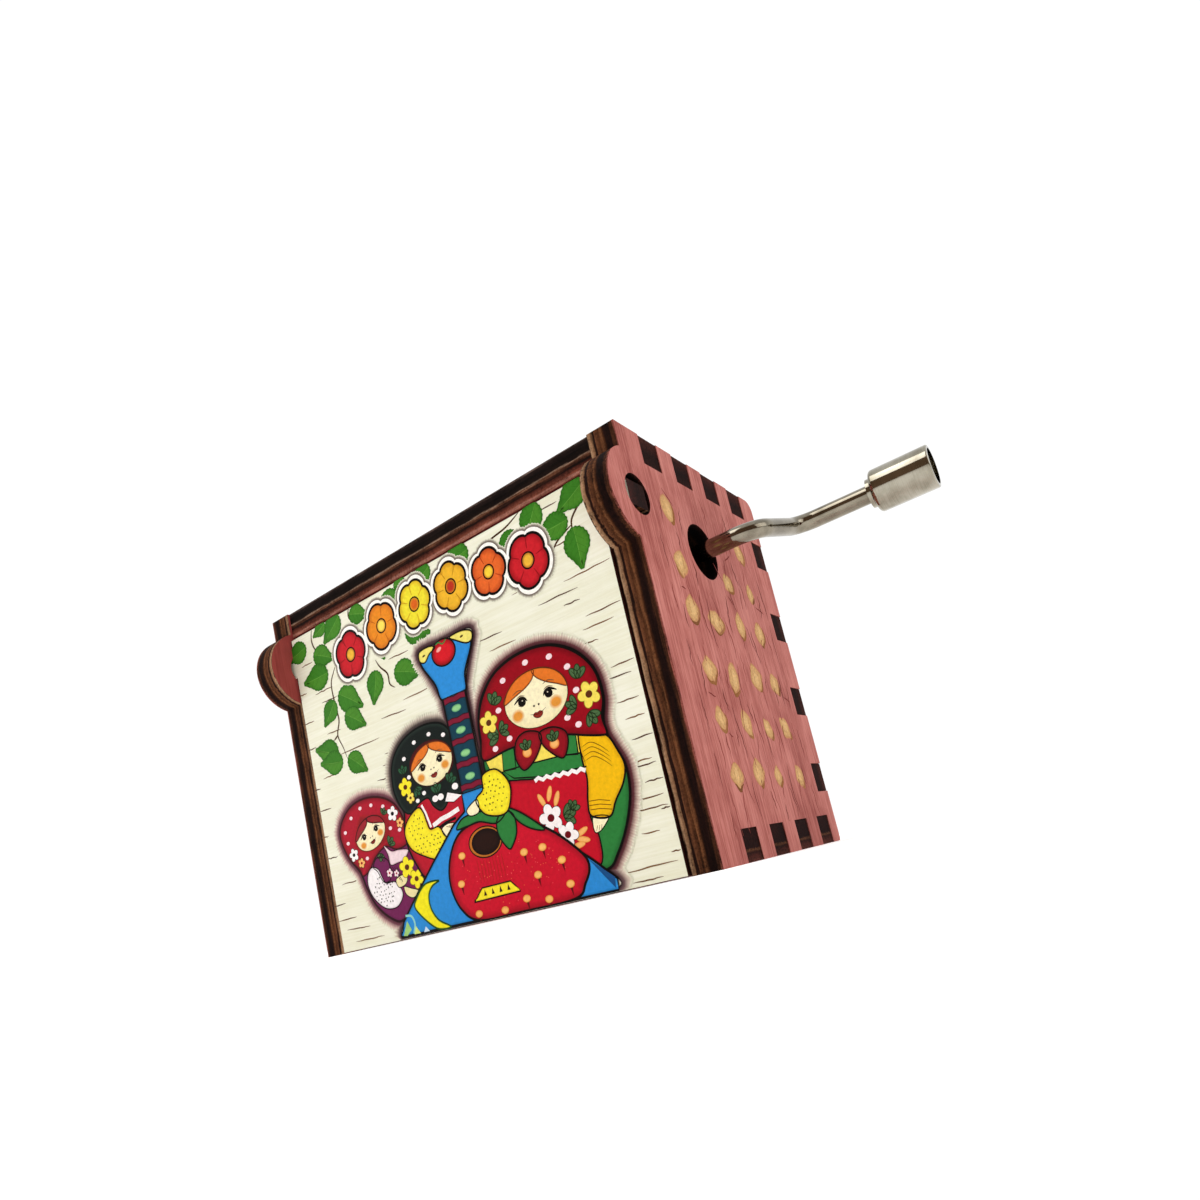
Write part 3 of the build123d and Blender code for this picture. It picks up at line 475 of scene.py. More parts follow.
# Bright nickel over turned steel screws, paler than the crank and its sleeve, whose colour carries painted
# shade.
"""Bright nickel over turned steel screws: paler than the crank, as no hand has dulled it."""
ZINC_CASTING = Metal("die_cast_zinc_tumbled", "A3A5A6", "85878A", 0.42, 0.25, 0.25, Axis.Z, 0.02)
"""Tumbled die casting: dull grey with a fine pebbled skin."""
STAMPED_STEEL = Metal("stamped_steel_zinc_plated", "BFBDB2", "9E9B8E", 0.3, 0.12, 4.0, Axis.Y, 0.005)
"""Rolled strip with clear zinc: soft streaks along the strip."""
SPRING_STEEL = Metal("spring_steel_surface_ground", "A9ABAE", "7D8084", 0.24, 0.07, 8.0, Axis.Z, 0.004)
"""Ground spring steel: close parallel lines across the teeth."""
LEAD = Metal("lead_alloy_cast_dull", "6B6D72", "4B4D52", 0.55, 0.2, 0.2, Axis.Z, 0.02)
"""Dull lead, oxidised dark grey."""
BRASS = Metal("brass_turned_lacquered", "D8AE52", "B58A35", 0.2, 3.0, 0.06, Axis.Z, 0.003)
"""Turned brass tube: warm yellow with fine rings round the drum."""
PIN_STEEL = Metal("steel_pin_wire_bright", "C9CACB", "A2A4A6", 0.2, 0.1, 0.1, Axis.Z, 0.002)
"""Bright drawn steel: a clean grey gleam."""


def dress_all(finishes: dict[str, Metal]) -> None:
    """Gives CAD nodes their finishes, and makes each finish once.

    Args:
        finishes: Each node's finish.
    """
    made: dict[str, bpy.types.Material] = {}
    for node, finish in finishes.items():
        if finish.name not in made:
            made[finish.name] = finish.build()
        dress(node, made[finish.name])
        LOG.info("%s: %s", node, finish.name)


@dataclass(frozen=True)
class MouldedNylon:
    """Natural nylon from a steel mould: milky, slightly see-through, with a soft waxy sheen."""

    name: str = "nylon_natural_moulded"
    colour: str = "E9E4D2"
    dark: str = "D6CFB8"
    cloud_mm: float = 1.8
    skin_mm: float = 0.01
    roughness: float = 0.38
    milky: float = 0.15
    light_reach_mm: float = 0.4

    def build(self) -> bpy.types.Material:
        """Builds the material.

        Returns:
            The finish.
        """
        material, tree, shader = start_material(self.name)
        place = add(tree, "TexCoord", out="Object")
        cloud = add(tree, "TexNoise", {"Vector": place, "Scale": 1 / (self.cloud_mm * MM), "Detail": 3.0},
                    "Fac")
        colour = add(tree, "ValToRGB", {0: cloud}, stops=((0.35, self.dark), (0.62, self.colour)))
        bump = add(tree, "Bump", {"Height": cloud, "Strength": 0.2, "Distance": self.skin_mm * MM})
        feed(tree, shader, {"Base Color": colour, "Normal": bump, "Roughness": self.roughness,
                            "Subsurface Weight": self.milky, "Subsurface Scale": self.light_reach_mm * MM})
        return material


# ------------------------------------------------------------------------------------ print kit
@dataclass(frozen=True)
class Ink:
    """Layers of printer's ink under a satin varnish: flat colour with a trace of screen mottle.

    Attributes:
        name: The finish's name.
        roughness: Its middle roughness.
        mottle: How far the colour strays, as a share.
        mottle_mm: Size of the mottle.
        specular: The varnish's specular level, low for a thin satin coat.
    """

    name: str
    roughness: float = 0.4
    mottle: float = 0.11
    mottle_mm: float = 0.5
    specular: float = 0.05

    def build(self) -> bpy.types.Material:
        """Builds the material, which takes its colour from the mesh's own colour layer.

        Returns:
            The finish.
        """
        material, tree, shader = start_material(self.name)
        place = add(tree, "TexCoord", out="Object")
        ink = add(tree, "Attribute", out="Color", attribute_name="ink")
        fine = add(tree, "TexNoise", {"Vector": place, "Scale": 1 / (self.mottle_mm * MM),
                                     "Detail": 4.0, "Roughness": 0.65}, "Fac")
        level = add(tree, "MapRange", {0: fine, 1: 0.3, 2: 0.7, 3: 1 - self.mottle, 4: 1 + self.mottle})
        colour = add(tree, "VectorMath", {0: ink, 3: level}, operation="SCALE")
        rough = add(tree, "MapRange", {0: fine, 3: self.roughness - 0.06, 4: self.roughness + 0.08})
        feed(tree, shader, {"Base Color": colour, "Roughness": rough, "Specular IOR Level": self.specular})
        return material


def read(outline: Outline) -> Sequence[Point]:
    """Reads an outline, whichever way it is written.

    Args:
        outline: The points or their text.

    Returns:
        The points.
    """
    if isinstance(outline, str):
        pairs = [pair.split() for pair in outline.split(",")]
        return [(float(right), float(up)) for right, up in pairs]
    return outline


def turned(centre: Point, across: float, along: float, degrees: float) -> Point:
    """Places a point of a turned drawing.

    Args:
        centre: Where the drawing's middle lies.
        across: How far right of the middle the point is before the turn.
        along: How far above the middle it is.
        degrees: The turn, anticlockwise.

    Returns:
        The point.
    """
    turn = math.radians(degrees)
    return (centre[0] + across * math.cos(turn) - along * math.sin(turn),
            centre[1] + across * math.sin(turn) + along * math.cos(turn))


def smooth_loop(points: Outline, steps: int = 6, closed: bool = True) -> list[Point]:
    """Runs a Catmull-Rom curve through points.

    Args:
        points: The points to pass through.
        steps: Samples between two points.
        closed: Whether the last point joins the first.

    Returns:
        The sampled curve.
    """
    points = read(points)
    count = len(points)
    out: list[Point] = []
    for i in range(count if closed else count - 1):
        before, start = points[(i - 1) % count], points[i]
        end, after = points[(i + 1) % count], points[(i + 2) % count]
        if not closed:
            before = points[max(i - 1, 0)]
            after = points[min(i + 2, count - 1)]
        for step in range(steps):
            t = step / steps
            out.append(tuple(
                0.5 * (2 * b + (c - a) * t + (2 * a - 5 * b + 4 * c - d) * t * t
                       + (3 * b - a - 3 * c + d) * t ** 3)
                for a, b, c, d in zip(before, start, end, after)))
    if not closed:
        out.append(points[-1])
    return out


def clean_loop(loop: Sequence[Point]) -> list[Point]:
    """Drops points that lie on their neighbour and turns the loop anticlockwise.

    Args:
        loop: The outline.

    Returns:
        The cleaned outline.
    """
    kept = [p for i, p in enumerate(loop) if math.dist(p, loop[i - 1]) > SAME_PLACE_MM]
    area = sum(kept[i - 1][0] * p[1] - p[0] * kept[i - 1][1] for i, p in enumerate(kept))
    return kept if area > 0 else kept[::-1]


def side_steps(loop: Sequence[Point], closed: bool = True) -> list[Point]:
    """Finds the unit direction to the left of a path at each point, averaged at corners.

    Args:
        loop: The path.
        closed: Whether it joins its own start.

    Returns:
        One direction for each point.
    """
    out = []
    count = len(loop)
    for i in range(count):
        a = loop[i - 1] if closed or i else loop[0]
        b = loop[(i + 1) % count] if closed or i < count - 1 else loop[-1]
        dx, dy = b[0] - a[0], b[1] - a[1]
        size = math.hypot(dx, dy) or 1.0
        out.append((-dy / size, dx / size))
    return out


def inset(loop: Sequence[Point], reach: float, share: float = 0.7) -> list[Point]:
    """Moves an anticlockwise loop inwards, but never past the middle of the shape.

    Args:
        loop: The outline.
        reach: How far in, where there is room.
        share: How much of the room may be used.

    Returns:
        One inner point for each outer one.
    """
    out = []
    for p, side in zip(loop, side_steps(loop)):
        room = reach / share
        for q in loop:
            dx, dz = q[0] - p[0], q[1] - p[1]
            depth = dx * side[0] + dz * side[1]
            if depth > 1e-6:
                room = min(room, (dx * dx + dz * dz) / (2 * depth))
        out.append((p[0] + side[0] * room * share, p[1] + side[1] * room * share))
    return out


@dataclass
class Sheet:
    """A stack of thin flat colour shapes on one face of the case.

    Attributes:
        name: The piece's name.
        origin: Where the drawing's own (0, 0) lies, in metres.
        right: The drawing's first direction.
        up: The drawing's second direction.
        out: Away from the face.
        level: How many layers lie below the next shape.
        points: The vertices so far.
        faces: The faces so far.
        colours: Each vertex's colour.
        drawn: How many shapes are drawn.
        low: The least place on the face that ink may lie, in millimetres.
        high: The greatest place on the face that ink may lie.
    """

    name: str
    origin: Vector
    right: Vector
    up: Vector
    out: Vector
    level: float = 1.0
    points: list[Vector] = field(default_factory=list)
    faces: list[tuple[int, ...]] = field(default_factory=list)
    colours: list[Colour] = field(default_factory=list)
    drawn: int = 0
    low: Point = (-math.inf, -math.inf)
    high: Point = (math.inf, math.inf)

    def _point(self, place: Point, colour: Colour, lift: float = 0.0) -> int:
        """Adds one vertex.

        Args:
            place: Where it lies on the face, in millimetres.
            colour: Its colour.
            lift: How many layers above the stack's level.

        Returns:
            Its number.
        """
        height = (self.level + lift + STAGGER * (self.drawn % STAGGERED)) * LAYER
        kept = [min(max(v, a), b) for v, a, b in zip(place, self.low, self.high)]
        spot = self.origin + (self.right * kept[0] + self.up * kept[1]) * MM + self.out * height
        self.points.append(spot)
        self.colours.append(colour)
        return len(self.points) - 1

    def _band(self, outer: list[int], inner: list[int], closed: bool = True) -> None:
        """Joins two rows of vertices with faces.

        Args:
            outer: The right or outer row.
            inner: The left or inner row.
            closed: Whether the last face joins the first.
        """
        count = len(outer)
        for i in range(count if closed else count - 1):
            j = (i + 1) % count
            self.faces.append((outer[i], outer[j], inner[j], inner[i]))

    def area(self, loop: Sequence[Point], colour: str, rim: str | None = None, rim_mm: float = 0.4) -> None:
        """Fills a closed outline.

        Args:
            loop: The outline.
            colour: Hex colour of the fill.
            rim: Hex colour that the fill turns to at its edge.
            rim_mm: How far in from the edge it has turned back.
        """
        inner = loop = clean_loop(loop)
        self.drawn += 1
        tone = linear(colour)
        outer_ids: list[int] = []
        if rim:
            inner = inset(loop, rim_mm)
            edge = linear(rim)
            outer_ids = [self._point(p, edge) for p in loop]
        inner_ids = [self._point(p, tone) for p in inner]
        self._band(outer_ids, inner_ids)
        for a, b, c in tessellate_polygon([[Vector((p[0], p[1], 0)) for p in inner]]):
            pa, pb, pc = inner[a], inner[b], inner[c]
            turn = (pb[0] - pa[0]) * (pc[1] - pa[1]) - (pb[1] - pa[1]) * (pc[0] - pa[0])
            if abs(turn) < THIN_MM2:
                continue
            order = (a, b, c) if turn > 0 else (a, c, b)
            self.faces.append(tuple(inner_ids[k] for k in order))

    def line(self, path: Outline, width: float, colour: str, closed: bool = False,
             taper: bool = False) -> None:
        """Draws a ribbon along a path.

        Args:
            path: The middle of the ribbon.
            width: Its width in millimetres.
            colour: Hex colour.
            closed: Whether it joins its own start.
            taper: Whether it thins to nothing at both ends.
        """
        path = clean_loop(read(path)) if closed else read(path)
        self.drawn += 1
        tone = linear(colour)
        count = len(path)
        left, right = [], []
        # A tapered ribbon keeps a sliver of width at its ends, so that no face is empty.
        for i, (p, s) in enumerate(zip(path, side_steps(path, closed))):
            share = math.sin(math.pi * (i + 0.3) / (count - 0.4)) ** 0.6 if taper else 1.0
            half = width / 2 * share
            left.append(self._point((p[0] + s[0] * half, p[1] + s[1] * half), tone))
            right.append(self._point((p[0] - s[0] * half, p[1] - s[1] * half), tone))
        self._band(right, left, closed)

    def curve(self, points: Outline, width: float, colour: str, steps: int = 5,
              taper: bool = False) -> None:
        """Draws a ribbon along a curve through points.

        Args:
            points: The points to pass through.
            width: The ribbon's width in millimetres.
            colour: Hex colour.
            steps: Samples between two points.
            taper: Whether it thins to nothing at both ends.
        """
        self.line(smooth_loop(points, steps, closed=False), width, colour, taper=taper)

    def _edge(self, loop: Sequence[Point], width: float, colour: str | None) -> None:
        """Inks an outline above its fill.

        Args:
            loop: The outline.
            width: Width of the inked edge.
            colour: Hex colour, or None for no edge.
        """
        if colour:
            self.level += EDGE_LIFT
            self.line(loop, width, colour, closed=True)
            self.level -= EDGE_LIFT

    def shape(self, points: Outline, colour: str, edge: str | None, width: float = 0.22,
              rim: str | None = None, smooth: bool = True, rim_mm: float = 0.4) -> None:
        """Fills an outline and inks its edge one layer above.

        Args:
            points: The outline's own points.
            colour: Hex colour of the fill.
            edge: Hex colour of the inked edge, or None for no edge.
            width: Width of the inked edge.
            rim: Hex colour that the fill turns to at its edge.
            smooth: Whether the outline is curved through its points.
            rim_mm: How wide the turned edge is.
        """
        loop = smooth_loop(points) if smooth else read(points)
        self.area(loop, colour, rim, rim_mm)
        self._edge(loop, width, edge)

    def oval(self, centre: Point, rx: float, rz: float, colour: str, tilt: float = 0.0,
             edge: str | None = None, width: float = 0.15, rim: str | None = None, steps: int = 28) -> None:
        """Fills an oval.

        Args:
            centre: Its middle.
            rx: Half its length.
            rz: Half its height.
            colour: Hex colour of the fill.
            tilt: Degrees anticlockwise.
            edge: Hex colour of the inked edge, or None.
            width: Width of the inked edge.
            rim: Hex colour at the fill's own edge.
            steps: Points round it.
        """
        angles = [FULL_TURN * i / steps for i in range(steps)]
        loop = [turned(centre, rx * math.cos(angle), rz * math.sin(angle), tilt) for angle in angles]
        self.area(loop, colour, rim, min(rx, rz) * 0.45)
        self._edge(loop, width, edge)

    def glow(self, loop: Sequence[Point], reach: float, tones: Sequence[str], rings: int) -> None:
        """A dark halo outside an outline that fades in short strokes.

        Its inner ring stands highest, so that where two halos meet the darker one shows.

        Args:
            loop: The outline.
            reach: How far out it fades, in millimetres.
            tones: Hex colours from the outline to where the halo ends.
            rings: Steps of the fade.
        """
        fine: list[Point] = []
        for i, p in enumerate(loop):
            q = loop[(i + 1) % len(loop)]
            parts = max(1, round(math.dist(p, q) / HALO_PITCH_MM))
            fine += [(p[0] + (q[0] - p[0]) * k / parts, p[1] + (q[1] - p[1]) * k / parts)
                     for k in range(parts)]
        loop = clean_loop(fine)
        sides = side_steps(loop)
        # Long and short strokes take turns.
        rng = random.Random(len(loop))
        strokes = [rng.uniform(0.95, 1.12) if i % 2 else rng.uniform(0.76, 0.92) for i in range(len(loop))]
        stops = [linear(code) for code in tones]
        before: list[int] = []
        for ring in range(rings + 1):
            share = ring / rings
            at = share * (len(stops) - 1)
            low = min(int(at), len(stops) - 2)
            tone = tuple(a + (b - a) * (at - low) for a, b in zip(stops[low], stops[low + 1]))
            ids = []
            for p, side, stroke in zip(loop, sides, strokes):
                away = reach * share * (1.0 + (stroke - 1.0) * share)
                ids.append(self._point((p[0] - side[0] * away, p[1] - side[1] * away), tone,
                                       HALO_LIFT * (1 - share)))
            if before:
                self._band(ids, before)
            before = ids

    def build(self, material: bpy.types.Material, body: str, slot: str) -> bpy.types.Object:
        """Turns the shapes into one piece.

        Args:
            material: Its finish.
            body: The body it rides on.
            slot: Names the record's material slot; not used.

        Returns:
            The new piece.
        """
        mesh = bpy.data.meshes.new(self.name)
        flip = self.right.cross(self.up).dot(self.out) < 0
        faces = [f[::-1] for f in self.faces] if flip else self.faces
        mesh.from_pydata([tuple(p) for p in self.points], [], faces)
        layer = mesh.color_attributes.new("ink", "FLOAT_COLOR", "POINT")
        for i, tone in enumerate(self.colours):
            layer.data[i].color = tone
        mesh.validate()
        mesh.update()
        piece = bpy.data.objects.new(self.name, mesh)
        bpy.context.collection.objects.link(piece)
        mesh.materials.append(material)
        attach(piece, body)
        LOG.info("%s: %d points, %d faces", self.name, len(self.points), len(self.faces))
        return piece


class Shade(str, Enum):
    """The inks of the lid's picture, as sRGB hex colours."""

    PAPER = "EAEBD6"
    LINE = "0C0807"
    SCARF = "930819"
    SCARF_DEEP = "680512"
    APRON = "BE1026"
    BERRY = "C6122B"
    BERRY_DEEP = "8E0D1E"
    BLACK_SCARF = "111A18"
    BLUE = "2C8BD6"
    BLUE_DEEP = "1768A6"
    TEAL = "123C4E"
    GREEN = "2C7C3A"
    GREEN_DEEP = "1F5A2A"
    LEAF = "397A22"
    LEAF_DEEP = "2A6216"
    YELLOW = "F3E52C"
    STRAW = "F0DC5C"
    MUSTARD = "EDB910"
    AMBER = "F0B469"
    SKIN = "F6EEC6"
    CHEEK = "DE9238"
    LIPS = "8C2A22"
    WHITE = "F7F2F2"
    BLUSH_WHITE = "F3D9DF"
    PLUM = "6E1F52"
    BROWN = "5A2C12"


@dataclass
class FolkSheet(Sheet):
    """A stack that also draws the picture's own motifs: leaves, blossoms, faces and printed cloth."""

    def leaf(self, x: float, z: float, size: float, tilt: float) -> None:
        """One birch leaf with its midrib and veins.

        Args:
            x: Its middle.
            z: Its middle.
            size: Half its length.
            tilt: Where its tip points, in degrees.
        """
        outline = read("-1.0 0.0, -0.82 0.5, -0.35 0.82, 0.15 0.78, 0.6 0.45, 1.2 0.0, 0.6 -0.45, "
                       "0.15 -0.78, -0.35 -0.82, -0.82 -0.5")

        def put(place: Point) -> Point:
            """Turns, sizes and moves one point of the leaf."""
            return turned((x, z), place[0] * size, place[1] * size * 0.92, tilt)

        notched = []
        for i, (u, v) in enumerate(smooth_loop(outline, 4)):
            tooth = 0.035 if i % 2 else -0.02
            notched.append((u * (1 + tooth), v * (1 + tooth)))
        self.area([put(p) for p in notched], Shade.LEAF, Shade.LEAF_DEEP, size * 0.28)
        self.level += 0.25
        half = [(u * 0.93, v * 0.9) for u, v in notched if v >= 0.0]
        self.area([put(p) for p in half], "478528", Shade.LEAF, size * 0.2)
        self.level += 0.25
        self.line([put((-1.0, 0.0)), put((0.0, 0.03)), put((1.0, 0.0))], 0.09, "5F9A3A", taper=True)
        for start in (-0.6, -0.2, 0.2):
            for side in (-1, 1):
                self.line([put((start, 0)), put((start + 0.42, side * 0.5))], 0.05, "2F6614", taper=True)
        self.level -= 0.5

    def blossom(self, x: float, z: float, size: float, tone: Shade, heart: Shade, tilt: float = 0) -> None:
        """A flower of five round petals, outlined, with a dark heart.

        Args:
            x: Its middle.
            z: Its middle.
            size: Half its width.
            tone: The petals' ink.
            heart: The heart's ink.
            tilt: Where a petal points, in degrees.
        """
        petals = [math.radians(tilt + 360 / 5 * i) for i in range(5)]
        outline = "7A5E14" if tone in (Shade.YELLOW, Shade.STRAW) else Shade.LINE
        for grow, colour in ((0.08, outline), (0.0, tone)):
            for angle in petals:
                spot = (x + size * 0.56 * math.cos(angle), z + size * 0.56 * math.sin(angle))
                self.oval(spot, size * 0.43 + grow, size * 0.36 + grow, colour, math.degrees(angle), None,
                          steps=16)
            self.level += 0.5
        self.oval((x, z), size * 0.4, size * 0.38, tone, 0, None, steps=14)
        self.level += 0.5
        self.oval((x, z), size * 0.3, size * 0.27, heart, 0, None, steps=14)
        self.level -= 1.5

    def eye(self, x: float, z: float, size: float, side: int, tilt: float) -> None:
        """A painted eye: pupil with a spark, heavy upper lash line, lower lash and brow.

        Args:
            x: Its middle.
            z: Its middle.
            size: Half the eye's width.
            side: 1 where the lash sweeps right, -1 where it sweeps left.
            tilt: The face's own tilt in degrees.
        """
        def put(u: float, v: float) -> Point:
            """A place near the eye, in shares of its size; positive u is outwards."""
            return turned((x, z), u * side * size, v * size, tilt)

        self.oval((x, z), size * 0.7, size * 0.6, "0B0705", tilt, None, steps=18)
        # Upper lash line, the lid's fold, lower lash line and brow.
        for path, width, colour in (
                (((-0.95, -0.12), (-0.55, 0.42), (0.1, 0.62), (0.75, 0.42), (1.45, 0.02)), 0.36, "120C08"),
                (((-0.7, 0.68), (0.1, 0.92), (0.95, 0.66)), 0.13, "6E5038"),
                (((-0.5, -0.45), (0.1, -0.58), (0.8, -0.3)), 0.1, "4A3426"),
                (((-0.7, 1.45), (0.3, 1.72), (1.4, 1.35)), 0.14, "6A4A30")):
            self.curve([put(u, v) for u, v in path], size * width, colour, taper=True)
        self.level += 0.5
        self.oval(put(-0.12, 0.18), size * 0.12, size * 0.1, "D8CFBC", 0, None, steps=8)
        self.level -= 0.5

    def face(self, x: float, z: float, rx: float, rz: float, tilt: float = 0.0,
             hair: tuple[str, str, str] = ("DF7426", "C8611C", "5A2A10")) -> None:
        """A doll's face: oval, two hair wings, eyes, nose dots, lips and cheeks.

        Args:
            x: The face's middle.
            z: The face's middle.
            rx: Half its width.
            rz: Half its height.
            tilt: Degrees anticlockwise.
            hair: Hex colours of the hair, its edge and its outline.
        """
        def put(u: float, v: float) -> Point:
            """A place on the face, in shares of its half width and half height."""
            return turned((x, z), u * rx, v * rz, tilt)

        self.oval((x, z), rx, rz, Shade.SKIN, tilt, "3A1A12", 0.1, rim="EADFAE", steps=48)
        self.level += 0.6
        for u in (-0.64, 0.58):
            self.oval(put(u, -0.38), rx * 0.21, rz * 0.25, Shade.CHEEK, 0, None, rim="EFE2B4", steps=22)
        left = read("-1.0 0.16, -0.88 0.5, -0.46 0.9, 0.08 1.0, 0.04 0.72, -0.2 0.5, -0.6 0.32")
        right = read("0.08 1.0, 0.52 0.87, 0.89 0.48, 1.0 0.02, 0.72 0.2, 0.38 0.44, 0.13 0.72")
        for wing in (left, right):
            self.shape([put(u, v) for u, v in wing], hair[0], hair[2], 0.14, rim=hair[1], rim_mm=0.25)
        self.level += 0.6
        for u, v, side in ((-0.43, 0.04, -1), (0.42, 0.0, 1)):
            self.eye(*put(u, v), rx * 0.18, side, tilt)
        for u in (-0.09, 0.06):
            self.oval(put(u, -0.24), rx * 0.032, rx * 0.028, "2E1C12", 0, None, steps=8)
        lips = read("-0.17 -0.55, -0.1 -0.48, -0.03 -0.5, 0.05 -0.47, 0.13 -0.53, 0.1 -0.63, 0.0 -0.69, "
                    "-0.11 -0.65")
        self.shape([put(u, v) for u, v in lips], Shade.LIPS, "4A1410", 0.08, rim="6A1814", rim_mm=0.1)
        smile = read("-0.26 -0.49, -0.14 -0.53, -0.03 -0.56, 0.1 -0.53, 0.25 -0.43")
        self.line([put(u, v) for u, v in smile], 0.09, "3A1210", taper=True)
        self.level -= 1.2

    def dots(self, spots: Outline, size: float, tone: Shade) -> None:
        """Round spots printed on cloth.

        Args:
            spots: Their middles.
            size: Half the size of each.
            tone: Their ink.
        """
        for x, z in read(spots):
            self.oval((x, z), size * 1.1, size * 0.85, tone, 0, None, steps=14)

    def flecked(self, start: Point, pitch: Point, count: int, covers: Callable[[float, float], bool],
                colour: str, seed: int) -> None:
        """Short dashes printed all over a sleeve, each a little off its row.

        Args:
            start: The lower left dash.
            pitch: The spacing along a row and between rows.
            count: Rows, and dashes in a row.
            covers: Says whether a place lies on the sleeve.
            colour: Hex colour of the dashes.
            seed: Starts the chance.
        """
        rng = random.Random(seed)
        for row in range(count):
            for col in range(count):
                x = start[0] + pitch[0] * (col + 0.45 * (row % 2)) + rng.uniform(-0.16, 0.16)
                z = start[1] + pitch[1] * row + rng.uniform(-0.14, 0.14)
                turn = rng.uniform(-1.2, 1.9)
                reach = rng.uniform(0.12, 0.26)
                if covers(x, z):
                    tip = (x + reach * math.cos(turn), z + reach * math.sin(turn))
                    self.line([(x, z), tip], 0.16, colour)

    def sprig(self, x: float, z: float, size: float, tilt: float,
              tones: tuple[str, str] = ("4A6A42", "2C4A2A")) -> None:
        """Three small leaves that fan out.

        Args:
            x: Where they meet.
            z: Where they meet.
            size: Length of a leaf.
            tilt: Where the middle leaf points, in degrees.
            tones: Hex colours of a leaf and of its edge.
        """
        for offset in (-48, 48, 0):
            angle = math.radians(tilt + offset)
            spot = (x + size * 0.55 * math.cos(angle), z + size * 0.55 * math.sin(angle))
            self.oval(spot, size * 0.7, size * 0.38, tones[0], tilt + offset, "16240F", 0.1, rim=tones[1],
                      steps=18)
            tip = (x + size * math.cos(angle), z + size * math.sin(angle))
            self.line([(x, z), spot, tip], 0.08, "1E3018", taper=True)


